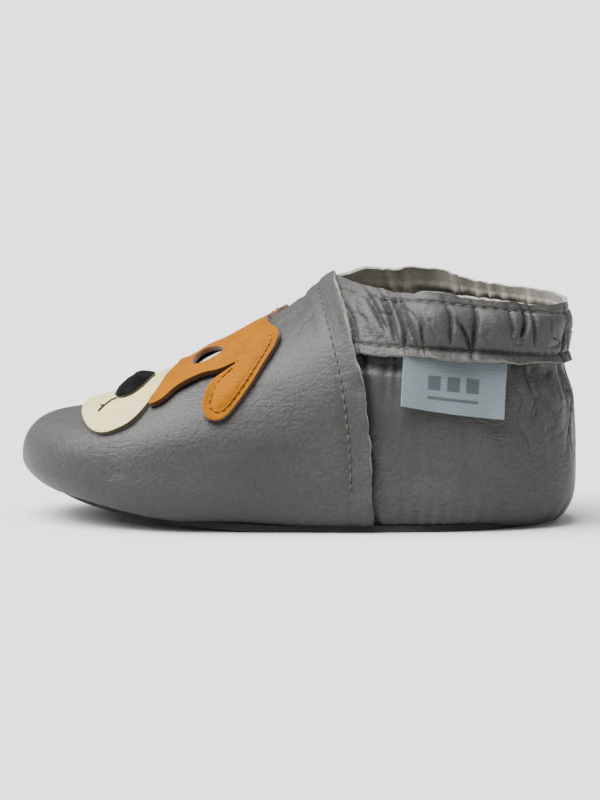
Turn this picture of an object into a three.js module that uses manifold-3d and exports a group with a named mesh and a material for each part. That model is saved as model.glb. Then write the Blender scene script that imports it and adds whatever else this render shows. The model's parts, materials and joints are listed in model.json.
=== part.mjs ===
// Soft leather baby bootie: a one-piece vamp, a quarter that wraps the heel, an elasticated cuff,
// a turned suede sole, a dog-face applique and a woven size label that hinges on its top edge.
// Millimetres. Toe towards -X, heel towards +X, the labelled (lateral) side towards -Y, Z up,
// the sole's tread rests on Z = 0.
import * as THREE from "three";
import { mergeVertices } from "three/addons/utils/BufferGeometryUtils.js";
import { TessellateModifier } from "three/addons/modifiers/TessellateModifier.js";
import Module from "manifold-3d";

// ---- Driving dimensions -------------------------------------------------------------------------
const LENGTH = 134; // toe to heel, outside the leather
const BALL_X = -25; // the widest station
const HALF_WIDTH = { lateral: 29.6, medial: 28.0 }; // at the ball, either side of the centre line
const TOE_BEND = 2.2; // superellipse power of the toe in plan
const HEEL_BEND = 2.75; // superellipse power of the heel in plan
const EVENING = 1.25; // evens out the steps of a turn along the shoe's sides
const TOE_SKEW = 3; // how far the toe tip swings towards the medial side
const TOE_SPRING = 6.8; // lift of the tread at the toe
const TREAD_FLAT_X = 0; // ahead of this station the tread starts to lift
const TONGUE = { x: 8.5, z: 60.2 }; // crest of the vamp's rear edge
const VAMP_FOOT_X = 19.5; // the rear edge where it meets the sole
const EDGE_BEND = 2.8; // how late the rear edge sweeps forward as it climbs
const VAMP_SEAM = 5; // stitch line inside that edge
const RIM = { front: 59.2, back: 53.0 }; // top edge of the cuff, at the tongue and at the heel
const RIM_SEAM = 2.6; // upper stitch line below the rim
const CUFF_SEAM = { front: 45.0, back: 40.9 }; // lower stitch line of the cuff
const FLANGE = 2.1; // raw edge of the cuff strip below that stitch line
const LEATHER = 1.2;
const SUEDE = 1.5; // outsole
const SOCK = 1.2; // insole cover
const PAD = 1.8; // foam under the insole cover
const ELASTIC = { thick: 0.6, width: 6, first: 28 }; // first: the column it starts at, see cuffStrip
const CUFF_FIRST = 23; // the column the cuff starts at, under the vamp
const EVEN_COLUMNS = { x: 9, step: 6.5, until: 28 }; // its first columns, from its cut end
const PUFF = 1.8; // how far the cuff stands off over the elastic
const FLARE = 1.2; // how far its raw lower edge stands off
const GAP = 0.3; // between pieces that touch
const THREAD = 0.45; // thread diameter
const LABEL = { width: 24.5, drop: 10.8, thick: 0.4, x: 38.6 };
const NEEDLE = 0.5; // a thread's centre above the leather it lies on

// ---- Worked out ---------------------------------------------------------------------------------
const QUARTER_OUT = -GAP; // the vamp lies over the quarter
const QUARTER_IN = QUARTER_OUT - LEATHER;
const CUFF_SEAT = QUARTER_OUT + GAP + 0.1; // the cuff's inner face where it is sewn down
const PATCH_LOW = LEATHER + GAP + 0.2; // appliques lie on the vamp, clear of its flat facets
const PATCH_HIGH = PATCH_LOW + LEATHER;
const TOE_REACH = LENGTH / 2 + BALL_X - LEATHER;
const HEEL_REACH = LENGTH / 2 - BALL_X + GAP;
const MARGIN_Z = SUEDE + GAP; // underside of the turned-in leather
const RIM_SLOPE = (RIM.back - RIM.front) / (LENGTH / 2 - TONGUE.x);
const SEAM_SLOPE = (CUFF_SEAM.back - CUFF_SEAM.front) / (LENGTH / 2 - TONGUE.x);

// The crest line over the foot as (x, z); behind the tongue it runs on above the opening and only
// steers how far the heel wall leans in.
const CREST = new THREE.CatmullRomCurve3(
  [
    [-54.5, 24.7],
    [-44, 27.4],
    [-33, 32.4],
    [-21, 39.0],
    [-9, 45.2],
    [0, 51.2],
    [8.5, 58.9],
    [24, 71],
    [40, 86],
  ].map(([x, z]) => new THREE.Vector3(x, 0, z)),
  false,
  "centripetal",
);
const CREST_FROM = CREST.points[0].x;
const CREST_TO = CREST.points[CREST.points.length - 1].x;
const CREST_TABLE = CREST.getPoints(240);

const clamp = THREE.MathUtils.clamp;
const ease = (from, to, x) => THREE.MathUtils.smoothstep(x, from, to);

function crestHeight(x) {
  const at = clamp(x, CREST_FROM, CREST_TO);
  const next = Math.max(1, CREST_TABLE.findIndex((p) => p.x >= at - 1e-9));
  const a = CREST_TABLE[next - 1];
  const b = CREST_TABLE[next];
  return THREE.MathUtils.mapLinear(at, a.x, b.x, a.z, b.z);
}

// Height of the tread above the ground: flat under heel and arch, lifting towards the toe.
function tread(x) {
  const ahead = Math.max(0, TREAD_FLAT_X - x) / (LENGTH / 2 + TREAD_FLAT_X);
  return TOE_SPRING * 1.35 * ahead ** 1.9;
}

const rimHeight = (x) => RIM.front + RIM_SLOPE * (x - TONGUE.x);
const seamHeight = (x) => CUFF_SEAM.front + SEAM_SLOPE * (x - TONGUE.x);
const vampEdge = (z) => VAMP_FOOT_X - (VAMP_FOOT_X - TONGUE.x) * (clamp(z, 0, 90) / TONGUE.z) ** EDGE_BEND;

// ---- The last: the foot-shaped form the leather is laid on --------------------------------------
// turn: 0 at the toe tip, PI at the back of the heel. side: -1 lateral, +1 medial.
function station(turn, side) {
  const quarterTurn = Math.PI / 2;
  const ahead = turn < quarterTurn;
  const share = Math.abs(turn / quarterTurn - 1) ** EVENING;
  const bend = 2 / (ahead ? TOE_BEND : HEEL_BEND);
  const along = Math.sin(share * quarterTurn) ** bend;
  const across = Math.max(0, Math.cos(share * quarterTurn)) ** bend;
  const x = BALL_X + (ahead ? -TOE_REACH : HEEL_REACH) * along;
  const crestX = BALL_X + (ahead ? CREST_FROM - BALL_X : CREST_TO - BALL_X) * along;
  const middle = (at) => TOE_SKEW * (Math.max(0, BALL_X - at) / TOE_REACH) ** 2;
  const waist = 2.2 * Math.exp(-(((x - 10) / 20) ** 2));
  const half = (side < 0 ? HALF_WIDTH.lateral : HALF_WIDTH.medial) * across - waist * ease(0, 0.5, across);
  const widest = new THREE.Vector3(x, middle(x) + side * half, 15 - (4.5 * (x + LENGTH / 2)) / LENGTH);
  const crest = new THREE.Vector3(crestX, middle(crestX), crestHeight(crestX));
  const power = ahead ? 2.15 + 0.2 * (1 - along) : 2.35 + 0.35 * ease(0.3, 0.6, along) * ease(1, 0.6, along);
  return { widest, crest, power, along, ahead };
}

// Where the upper turns under and meets the sole, and the way outwards in plan from there.
function feather(turn, side) {
  const { widest, crest, along, ahead } = station(turn, side);
  const outward = widest.clone().sub(crest).setZ(0).normalize();
  const waist = (side < 0 ? 1.6 : 1.1) * Math.exp(-(((widest.x - 12) / 22) ** 2));
  const inset = 4 + ((ahead ? 8 : 6.5) - 4) * along ** 2 - waist;
  const point = widest.clone().addScaledVector(outward, -inset);
  const underVamp = 1 - ease(VAMP_FOOT_X + 1, VAMP_FOOT_X + 14, point.x);
  point.z = tread(point.x) + MARGIN_Z - GAP + (LEATHER + GAP) * underVamp;
  return { point, outward, crest };
}

// climb: -1 at the feather line, 0 at the widest line, 1 on the crest.
function onLast(turn, climb, side) {
  const { widest, crest, power } = station(turn, side);
  const angle = (Math.min(1, Math.abs(climb)) * Math.PI) / 2;
  const bend = climb < 0 ? 2.3 : power;
  const end = climb < 0 ? feather(turn, side).point : crest;
  const out = Math.max(0, Math.cos(angle)) ** (2 / bend);
  const up = Math.sin(angle) ** (2 / bend);
  return new THREE.Vector3(
    end.x + (widest.x - end.x) * out,
    end.y + (widest.y - end.y) * out,
    widest.z + (end.z - widest.z) * up,
  );
}

function normalAt(turn, climb, hand) {
  const step = 1e-3;
  const t = clamp(turn, step, Math.PI - step);
  const c = clamp(climb, step - 1, 1 - step);
  const onSeam = climb > 1 - step || turn < step || turn > Math.PI - step;
  const side = onSeam ? -1 : hand;
  const alongTurn = onLast(t + step, c, side).sub(onLast(t - step, c, side));
  const alongClimb = onLast(t, c + step, side).sub(onLast(t, c - step, side));
  const normal = alongClimb.cross(alongTurn).multiplyScalar(side).normalize();
  return onSeam ? normal.setY(0).normalize() : normal;
}

const offLast = (turn, climb, side, distance) =>
  onLast(turn, climb, side).addScaledVector(normalAt(turn, climb, side), distance);

// The climb at which a turn's wall reaches a height, by halving.
function climbTo(turn, side, height) {
  let low = -1;
  let high = 0.98;
  for (let i = 0; i < 30; i += 1) {
    const mid = (low + high) / 2;
    if (onLast(turn, mid, side).z < height) low = mid;
    else high = mid;
  }
  return (low + high) / 2;
}

// The turn at which a line of equal climb crosses a station, by halving.
function turnTo(climb, side, x) {
  let low = 0;
  let high = Math.PI;
  for (let i = 0; i < 30; i += 1) {
    const mid = (low + high) / 2;
    if (onLast(mid, climb, side).x < x) low = mid;
    else high = mid;
  }
  return (low + high) / 2;
}

// ---- Closed bodies ------------------------------------------------------------------------------
const wasm = await Module();
wasm.setup();

// Merges shared corners, drops faces that have closed up and turns the body's faces outwards.
function weld(geometry) {
  const bare = new THREE.BufferGeometry();
  bare.setAttribute("position", geometry.getAttribute("position"));
  if (geometry.index) bare.setIndex(geometry.index);
  const merged = mergeVertices(bare, 1e-3);
  const corners = merged.index.array;
  const kept = [];
  for (let i = 0; i < corners.length; i += 3) {
    const [a, b, c] = corners.slice(i, i + 3);
    if (a !== b && b !== c && c !== a) kept.push(a, b, c);
  }
  const place = merged.getAttribute("position");
  const at = (i) => new THREE.Vector3().fromBufferAttribute(place, i);
  let volume = 0;
  for (let i = 0; i < kept.length; i += 3) {
    volume += at(kept[i]).dot(at(kept[i + 1]).cross(at(kept[i + 2])));
  }
  if (volume < 0) kept.reverse();
  merged.setIndex(kept);
  return merged;
}

function warp(geometry, place) {
  const position = geometry.getAttribute("position");
  for (let i = 0; i < position.count; i += 1) {
    const p = place(position.getX(i), position.getY(i), position.getZ(i));
    position.setXYZ(i, p.x, p.y, p.z);
  }
  return weld(geometry);
}

// A closed skin round the foot: around runs 0..1 from the toe along the lateral side and back along
// the medial side, up runs 0..1 between two lines that each close on themselves.
function skin(around, up, place) {
  return warp(new THREE.PlaneGeometry(1, 1, around, up), (x, y) => {
    const share = x + 0.5;
    const side = share < 0.5 ? -1 : 1;
    const turn = Math.PI * (side < 0 ? share * 2 : 2 - share * 2);
    return place(turn, side, y + 0.5);
  });
}

function toManifold(geometry) {
  const { array } = geometry.getAttribute("position");
  return new wasm.Manifold(
    new wasm.Mesh({ numProp: 3, vertProperties: array, triVerts: new Uint32Array(geometry.index.array) }),
  );
}

function fromManifold(solid) {
  const { vertProperties, triVerts } = solid.getMesh();
  const geometry = new THREE.BufferGeometry();
  geometry.setAttribute("position", new THREE.BufferAttribute(vertProperties, 3));
  geometry.setIndex(new THREE.BufferAttribute(triVerts, 1));
  return geometry;
}

// The last grown by offset(x, z), closed below by a floor that hangs `skirt` under the feather line.
const AROUND = 72;
const HALF_ROUND = AROUND / 2;
const FLOOR_ROWS = 2;
const UNDER_ROWS = 5; // feather line to widest line
const OVER_ROWS = 12; // widest line to crest
function grownLast(offset, skirt) {
  const rows = FLOOR_ROWS + UNDER_ROWS + OVER_ROWS;
  return toManifold(
    skin(AROUND, rows, (turn, side, up) => {
      const row = Math.round(up * rows);
      const over = row - FLOOR_ROWS - UNDER_ROWS;
      const climb = over > 0 ? over / OVER_ROWS : Math.max(-1, over / UNDER_ROWS);
      const base = onLast(turn, climb, side);
      const grown = offLast(turn, climb, side, offset(base.x, base.z));
      if (row >= FLOOR_ROWS) return grown;
      if (row > 0) return grown.setZ(grown.z - skirt);
      const { crest } = station(turn, side);
      return crest.setZ(tread(crest.x) + MARGIN_Z - skirt);
    }),
  );
}

// A prism across the shoe from a side profile of [x, z] points.
function across(profile) {
  const shape = new THREE.Shape(profile.map(([x, z]) => new THREE.Vector2(x, z)));
  const prism = new THREE.ExtrudeGeometry(shape, { depth: 90, bevelEnabled: false });
  prism.rotateX(Math.PI / 2).translate(0, 45, 0);
  return toManifold(weld(prism));
}

function edgeProfile(shift) {
  const steps = 8;
  return Array.from({ length: steps + 1 }, (_, i) => {
    const z = -8 + (i / steps) * (TONGUE.z + 14);
    return [vampEdge(z) + shift, z];
  });
}

// ---- Pieces -------------------------------------------------------------------------------------
const model = new THREE.Group();
model.name = "baby_bootie";

const FINISH = {
  greyLeather: { color: 0x777776, roughness: 0.55 },
  greySuede: { color: 0x8d8b84, roughness: 0.95 },
  paleSuede: { color: 0xb9b4a6, roughness: 0.95 },
  foam: { color: 0xe6e2d8, roughness: 0.9 },
  elastic: { color: 0xe9e7e2, roughness: 0.8 },
  tanLeather: { color: 0xd0892f, roughness: 0.5 },
  creamLeather: { color: 0xe3d9b8, roughness: 0.6 },
  inkLeather: { color: 0x34383e, roughness: 0.5 },
  whiteLeather: { color: 0xdcd8cb, roughness: 0.6 },
  satin: { color: 0xb5bfc3, roughness: 0.45 },
  greyThread: { color: 0xa9a79f, roughness: 0.7 },
  goldThread: { color: 0xe0a83c, roughness: 0.6 },
  darkThread: { color: 0x4f4a3c, roughness: 0.7 },
};

function add(name, geometry, finish, parent = model) {
  const mesh = new THREE.Mesh(geometry, new THREE.MeshStandardMaterial({ ...FINISH[finish], metalness: 0 }));
  mesh.name = name;
  parent.add(mesh);
  return mesh;
}

// Flat layers of the sole, each a plate that follows the tread and stops `inset` inside the feather.
function soleLayer(inset, low, high) {
  const rows = 10;
  return skin(AROUND, rows, (turn, side, up) => {
    const row = Math.round(up * rows);
    const { point, outward, crest } = feather(turn, side);
    const reach = [0, 0.35, 0.65, 0.88, 1, 1, 0.88, 0.65, 0.35, 0, 0][row];
    const rim = point.clone().addScaledVector(outward, -inset);
    const x = THREE.MathUtils.lerp(crest.x, rim.x, reach);
    const y = THREE.MathUtils.lerp(crest.y, rim.y, reach);
    return new THREE.Vector3(x, y, tread(x) + (row < 5 ? low : high));
  });
}

function buildSole() {
  const sewn = 0.9; // the outsole runs this far past the feather line, to show under the waist
  const bank = MARGIN_Z + 2 * (LEATHER + GAP); // clear of vamp and quarter margins where they overlap
  add("outsole", soleLayer(-sewn, 0, SUEDE), "greySuede");
  add("insole_pad", soleLayer(2.6, MARGIN_Z, MARGIN_Z + PAD), "foam");
  add("insole_sock", soleLayer(0.5, bank, bank + SOCK), "paleSuede");
}

function buildVamp() {
  const shell = grownLast(() => LEATHER, 0).subtract(grownLast(() => 0, 3));
  const keep = across([[-LENGTH, -8], ...edgeProfile(0), [-LENGTH, TONGUE.z + 6]]);
  add("vamp", fromManifold(shell.intersect(keep)), "greyLeather");
}

// At the front of the cuff the quarter sinks by one more layer, so the cuff's ends fit under the vamp.
const sink = (x, z) =>
  (LEATHER + 2 * GAP) * (1 - ease(25, 37, x)) * ease(seamHeight(x) - 7, seamHeight(x) - 3.5, z);

function buildQuarter() {
  const under = 11; // how far the wings reach in under the vamp
  const outer = grownLast((x, z) => QUARTER_OUT - sink(x, z), 0);
  const inner = grownLast((x, z) => QUARTER_IN - sink(x, z), 3);
  const wing = (x) => THREE.MathUtils.lerp(seamHeight(x) + 3, rimHeight(x) - 0.6, ease(20, 27, x));
  const top = (x) => Math.min(wing(x), crestHeight(x) - 7);
  const topLine = [-4, 2, 8, 14, 20, 22, 24, 27, 48, 70].map((x) => [x, top(x)]);
  const front = edgeProfile(-under).filter(([x, z]) => z < top(x) - 1);
  const keep = across([...front, ...topLine, [70, -8]]);
  add("quarter", fromManifold(outer.subtract(inner).intersect(keep)), "greyLeather");
}

// The turn at which the wall at a height reaches a station, by halving.
function turnAtHeight(side, x, heightOf) {
  let low = Math.PI * 0.4;
  let high = Math.PI;
  for (let i = 0; i < 24; i += 1) {
    const mid = (low + high) / 2;
    if (onWall(mid, side, heightOf, () => 0).x < x) low = mid;
    else high = mid;
  }
  return (low + high) / 2;
}

// A point over the leather of the wall at a height; standOff gives its distance from the last.
function onWall(turn, side, heightOf, standOff) {
  let x = onLast(turn, 0.62, side).x;
  let climb = 0;
  for (let i = 0; i < 4; i += 1) {
    climb = climbTo(turn, side, heightOf(x));
    x = onLast(turn, climb, side).x;
  }
  return offLast(turn, climb, side, standOff(x, heightOf(x)));
}

// The turn of a strip's column at a height. Columns count from the toe; the first few stand at even
// stations instead, so that the strip is cut square across behind the tongue.
function columnTurn(column, side, heightOf) {
  if (column >= EVEN_COLUMNS.until) return (column / HALF_ROUND) * Math.PI;
  const x = EVEN_COLUMNS.x + (column - CUFF_FIRST) * EVEN_COLUMNS.step;
  return turnAtHeight(side, x, heightOf);
}

// A strip round the heel: it starts `first` columns from the toe on one side and ends there on the
// other. heights is a list of heights over x, bottom to top; layer is 0 inside and 1 outside.
function cuffStrip(first, heights, standOff) {
  const columns = HALF_ROUND - first;
  const rows = heights.length - 1;
  return warp(new THREE.BoxGeometry(1, 1, 1, columns * 2, rows, 1), (u, v, w) => {
    const side = u < 0 ? -1 : 1;
    const heightOf = heights[Math.round((v + 0.5) * rows)];
    const column = HALF_ROUND - Math.round(Math.abs(u) * 2 * columns);
    const turn = columnTurn(column, side, heightOf);
    return onWall(turn, side, heightOf, (x, height) => standOff(x, height, w + 0.5));
  });
}

// How far the cuff strip's inner face stands off the last.
function cuffInner(x, height) {
  const low = seamHeight(x);
  const behind = ease(22, 34, x);
  const billow = Math.sin(Math.PI * clamp((height - low) / (rimHeight(x) - RIM_SEAM - low), 0, 1)) ** 0.7;
  const flare = clamp((low - height) / FLANGE, 0, 1);
  return THREE.MathUtils.lerp(QUARTER_IN, CUFF_SEAT, behind) + behind * (PUFF * billow + FLARE * flare);
}

function buildCuff() {
  const billowRows = 7;
  const between = (share) => (x) => seamHeight(x) + (rimHeight(x) - RIM_SEAM - seamHeight(x)) * share;
  const heights = [
    (x) => seamHeight(x) - FLANGE,
    ...Array.from({ length: billowRows + 1 }, (_, i) => between(i / billowRows)),
    rimHeight,
  ];
  const casing = (x, height, layer) => cuffInner(x, height) + layer * LEATHER;
  add("cuff_band", cuffStrip(CUFF_FIRST, heights, casing), "greyLeather");
  const band = [-0.5, -0.17, 0.17, 0.5].map((share) => (x) => between(0.5)(x) + share * ELASTIC.width);
  const elastic = cuffStrip(ELASTIC.first, band, (x, height, layer) => QUARTER_OUT + GAP + layer * ELASTIC.thick);
  add("ankle_elastic", elastic, "elastic");
}

// ---- The vamp as a flat sheet -------------------------------------------------------------------
// (along, down): along is the station x, down is measured over the leather from the crest, negative
// towards the lateral side.
const SHEET_STEP = 1;
const SHEET_ROWS = 76;
const sheetCache = new Map();
function sheetColumn(x, side) {
  const key = `${x}/${side}`;
  if (sheetCache.has(key)) return sheetCache.get(key);
  const fine = [];
  let run = 0;
  for (let i = 0; i <= 100; i += 1) {
    const climb = 1 - i / 60;
    const point = i === 0 ? new THREE.Vector3(x, 0, 0) : onLast(turnTo(climb, side, x), climb, side);
    if (i === 0) point.set(x, TOE_SKEW * (Math.max(0, BALL_X - x) / TOE_REACH) ** 2, crestHeight(x));
    if (i > 0) run += point.distanceTo(fine[i - 1].point);
    const turn = turnTo(Math.min(climb, 0.995), side, x);
    fine.push({ point, run, normal: normalAt(turn, i === 0 ? 1 : climb, side) });
  }
  sheetCache.set(key, fine);
  return fine;
}

function onSheet(along, down, distance) {
  const side = down < 0 ? -1 : 1;
  const pick = (x) => {
    const fine = sheetColumn(x, side);
    const target = Math.min(Math.abs(down), SHEET_ROWS);
    const next = clamp(fine.findIndex((entry) => entry.run >= target), 1, fine.length - 1);
    const a = fine[next - 1];
    const b = fine[next];
    const share = clamp((target - a.run) / (b.run - a.run), 0, 1);
    const normal = a.normal.clone().lerp(b.normal, share).normalize();
    return a.point.clone().lerp(b.point, share).addScaledVector(normal, distance);
  };
  const low = Math.floor(along / SHEET_STEP) * SHEET_STEP;
  return pick(low).lerp(pick(low + SHEET_STEP), (along - low) / SHEET_STEP);
}

// A flat outline given thickness, its long faces divided, and laid on the vamp.
function applique(shape, low, high, edge) {
  const flat = new THREE.ExtrudeGeometry(shape, { depth: high - low, bevelEnabled: false, curveSegments: 5 });
  flat.deleteAttribute("normal");
  flat.deleteAttribute("uv");
  const divided = new TessellateModifier(edge, 16).modify(flat);
  return warp(divided, (along, down, rise) => onSheet(along, down, low + rise));
}

// Thread: a closed round body along a run of points.
function thread(points, closed = false, diameter = THREAD) {
  const path = new THREE.CatmullRomCurve3(points, closed);
  const section = new THREE.Shape().absarc(0, 0, diameter / 2, 0, Math.PI * 2);
  const geometry = new THREE.ExtrudeGeometry(section, {
    extrudePath: path,
    steps: Math.max(8, Math.round(points.length * 1.2)),
    curveSegments: 3,
  });
  return weld(geometry);
}

// Evenly spaced needle holes are not cut: each line of stitching is one thread lying on the leather.
function buildVampSeam() {
  const reach = 60;
  const steps = 40;
  const points = [];
  for (let i = 0; i <= steps; i += 1) {
    const down = (i / steps) * 2 * reach - reach;
    let along = TONGUE.x;
    for (let turn = 0; turn < 8; turn += 1) {
      along = vampEdge(onSheet(along, down, 0).z) - VAMP_SEAM;
    }
    points.push(onSheet(along, down, LEATHER + NEEDLE));
  }
  add("vamp_seam_thread", thread(points), "greyThread");
}

// Both stitch lines of the cuff, from behind the vamp's edge round the heel to the other side.
function buildCuffSeams() {
  const first = CUFF_FIRST + 1;
  const columns = HALF_ROUND - first;
  const line = (heightOf) =>
    Array.from({ length: columns * 2 + 1 }, (_, i) => {
      const side = i < columns ? -1 : 1;
      const turn = columnTurn(HALF_ROUND - Math.abs(i - columns), side, heightOf);
      return onWall(turn, side, heightOf, (x, height) => cuffInner(x, height) + LEATHER + NEEDLE);
    });
  add("cuff_rim_thread", thread(line((x) => rimHeight(x) - RIM_SEAM)), "greyThread");
  add("cuff_base_thread", thread(line(seamHeight)), "greyThread");
}

function buildSoleSeam() {
  const steps = 54;
  const points = Array.from({ length: steps }, (_, i) => {
    const share = i / steps;
    const side = share < 0.5 ? -1 : 1;
    const { point, outward } = feather(Math.PI * (side < 0 ? share * 2 : 2 - share * 2), side);
    const inside = point.addScaledVector(outward, -1.4);
    return inside.setZ(tread(inside.x) + MARGIN_Z + THREAD / 2);
  });
  add("sole_seam_thread", thread(points, true), "greyThread");
}

// ---- The dog's face, laid out flat --------------------------------------------------------------
// Half outlines as [u, v]: u is the station, v the distance over the leather from the face's own
// centre line. The face sits a little towards the lateral side and is turned by SKEW.
const FACE_SHIFT = -2;
const SKEW = 0.07;
const ontoFace = ([u, v]) => [u + SKEW * v, v + FACE_SHIFT];

const MASK_HALF = [
  [-6.0, 0], [-4.6, 5.5], [-1.8, 12.6], [-5.6, 21], [-10.6, 28.2], [-13.6, 30.6], [-16.9, 29.6],
  [-18.3, 26], [-16.9, 21.2], [-13.4, 18], [-10.9, 15.6], [-15, 17.3], [-20, 17.1], [-25, 18.6],
  [-28.4, 21], [-31.4, 20.4], [-29.6, 14.6], [-27.6, 8], [-27.0, 0],
];
const EYE_HALF = [
  [-22.2, 11.4], [-22.2, 6.4], [-20.2, 3.6], [-17.3, 5.6], [-15.3, 9.3], [-17.2, 11.6], [-19.6, 12.6],
];
const EYE_WHITE_HALF = [
  [-21.5, 10.8], [-19.4, 9.0], [-17, 8.4], [-16.0, 9.3], [-17.5, 11.0], [-19.6, 12.0],
];
const EAR_SEAM_HALF = [
  [-7.4, 7.4], [-3.6, 12.6], [-7.0, 20.4], [-11.4, 26.8], [-13.8, 28.8], [-15.9, 28.0], [-16.7, 25.8],
  [-15.3, 21.4], [-12.4, 18.2],
];
const MOUTH_HALF = [[-42.8, 7.6], [-43.9, 10.6], [-45, 13.4], [-46, 16.4]];
const MUZZLE = { x: -39.2, front: 10.8, rear: 10.4, half: 26, shift: 0.6 };
const NOSE = { x: -37.6, long: 4.1, half: 12.2, thick: 2.2 };

function mirrorOf(points) {
  return points.map(([u, v]) => [u, -v]);
}

function splined(points, Kind = THREE.Shape) {
  const outline = new Kind();
  outline.moveTo(...points[0]);
  outline.splineThru([...points.slice(1), points[0]].map(([x, y]) => new THREE.Vector2(x, y)));
  return outline;
}

function superellipse({ x, front, rear, half }, steps = 30) {
  return Array.from({ length: steps }, (_, i) => {
    const angle = (i / steps) * Math.PI * 2;
    const c = Math.cos(angle);
    const power = 2 / (c < 0 ? 2.7 : 2.1);
    const reach = c < 0 ? front : rear;
    const s = Math.sin(angle);
    return [x + Math.sign(c) * reach * Math.abs(c) ** power, Math.sign(s) * half * Math.abs(s) ** power];
  });
}

function buildFace() {
  const ring = [...MASK_HALF, ...mirrorOf(MASK_HALF.slice(1, -1)).reverse()];
  const mask = splined(ring.map(ontoFace));
  for (const half of [EYE_HALF, mirrorOf(EYE_HALF)]) mask.holes.push(splined(half.map(ontoFace), THREE.Path));
  add("dog_mask", applique(mask, PATCH_LOW, PATCH_HIGH, 5), "tanLeather");

  const muzzle = new THREE.Shape(superellipse(MUZZLE).map(([x, y]) => new THREE.Vector2(x, y + MUZZLE.shift)));
  add("muzzle_patch", applique(muzzle, PATCH_LOW, PATCH_HIGH, 5), "creamLeather");
  const nose = { x: NOSE.x, front: NOSE.long, rear: NOSE.long, half: NOSE.half };
  const noseShape = new THREE.Shape(superellipse(nose, 22).map(([x, y]) => new THREE.Vector2(x, y)));
  const noseLow = PATCH_HIGH + GAP;
  add("nose_patch", applique(noseShape, noseLow, noseLow + NOSE.thick, 5), "inkLeather");

  for (const [hand, flip] of [["lateral", mirrorOf], ["medial", (points) => points]]) {
    const white = splined(flip(EYE_WHITE_HALF).map(ontoFace));
    add(`eye_white_${hand}`, applique(white, PATCH_LOW, PATCH_LOW + 0.7, 6), "whiteLeather");
    const lie = (points, height) =>
      flip(points).map(ontoFace).map(([along, down]) => onSheet(along, down, height));
    add(`ear_thread_${hand}`, thread(lie(EAR_SEAM_HALF, PATCH_HIGH + NEEDLE)), "goldThread");
    add(`mouth_thread_${hand}`, thread(lie(MOUTH_HALF, PATCH_HIGH + NEEDLE), false, 0.8), "darkThread");
  }
}

// ---- The size label: a satin flap that hangs from its top edge under the cuff's raw edge ----------
function buildLabel() {
  const clear = 0.45; // keeps its middle off the curved wall
  const seatAt = (x, height) => {
    let point = new THREE.Vector3();
    let turn = turnTo(0.5, -1, x);
    for (let i = 0; i < 6; i += 1) {
      point = onWall(turn, -1, () => height, () => QUARTER_OUT + GAP + clear);
      turn += (x - point.x) / 60;
    }
    return point;
  };
  const topAt = (x) => seamHeight(x) - FLANGE - 0.9;
  const half = LABEL.width / 2;
  const top = seatAt(LABEL.x, topAt(LABEL.x));
  const foot = seatAt(LABEL.x, topAt(LABEL.x) - LABEL.drop);
  const ahead = seatAt(LABEL.x + half, topAt(LABEL.x + half));
  const behind = seatAt(LABEL.x - half, topAt(LABEL.x - half));
  const acrossWay = ahead.sub(behind).normalize();
  const downWay = foot.sub(top);
  downWay.addScaledVector(acrossWay, -downWay.dot(acrossWay)).normalize();
  const upWay = downWay.negate();
  const inWay = new THREE.Vector3().crossVectors(upWay, acrossWay);
  const flap = new THREE.BoxGeometry(LABEL.width, LABEL.thick, LABEL.drop);
  flap.translate(0, -LABEL.thick / 2, -LABEL.drop / 2);
  const frame = new THREE.Matrix4().makeBasis(acrossWay, inWay, upWay);
  const label = add("size_label", flap, "satin");
  label.applyMatrix4(frame.setPosition(top));
}



buildSole();
buildVamp();
buildQuarter();
buildCuff();
buildVampSeam();
buildCuffSeams();
buildSoleSeam();
buildFace();
buildLabel();

// The origin stands on the ground under the middle of the whole outline.
const middle = new THREE.Box3().setFromObject(model, true).getCenter(new THREE.Vector3());
model.position.set(-middle.x, -middle.y, 0);

export default model;
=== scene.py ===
"""Soft leather baby bootie: leather, suede, stitching and label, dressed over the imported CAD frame.

The bootie is sewn from a vamp, a quarter that wraps the heel, an elasticated cuff and a turned
suede sole. A dog's face is sewn on the toe and a woven label hangs from under the cuff.
Shapes are worked out in millimetres on the shoe's last and handed to Blender in metres.
"""

from __future__ import annotations

import itertools
import json
import logging
import math
from dataclasses import dataclass, field
from enum import Enum
from functools import cached_property
from typing import Callable

import bmesh
import bpy
import numpy as np
from mathutils import Matrix, Vector

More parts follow.
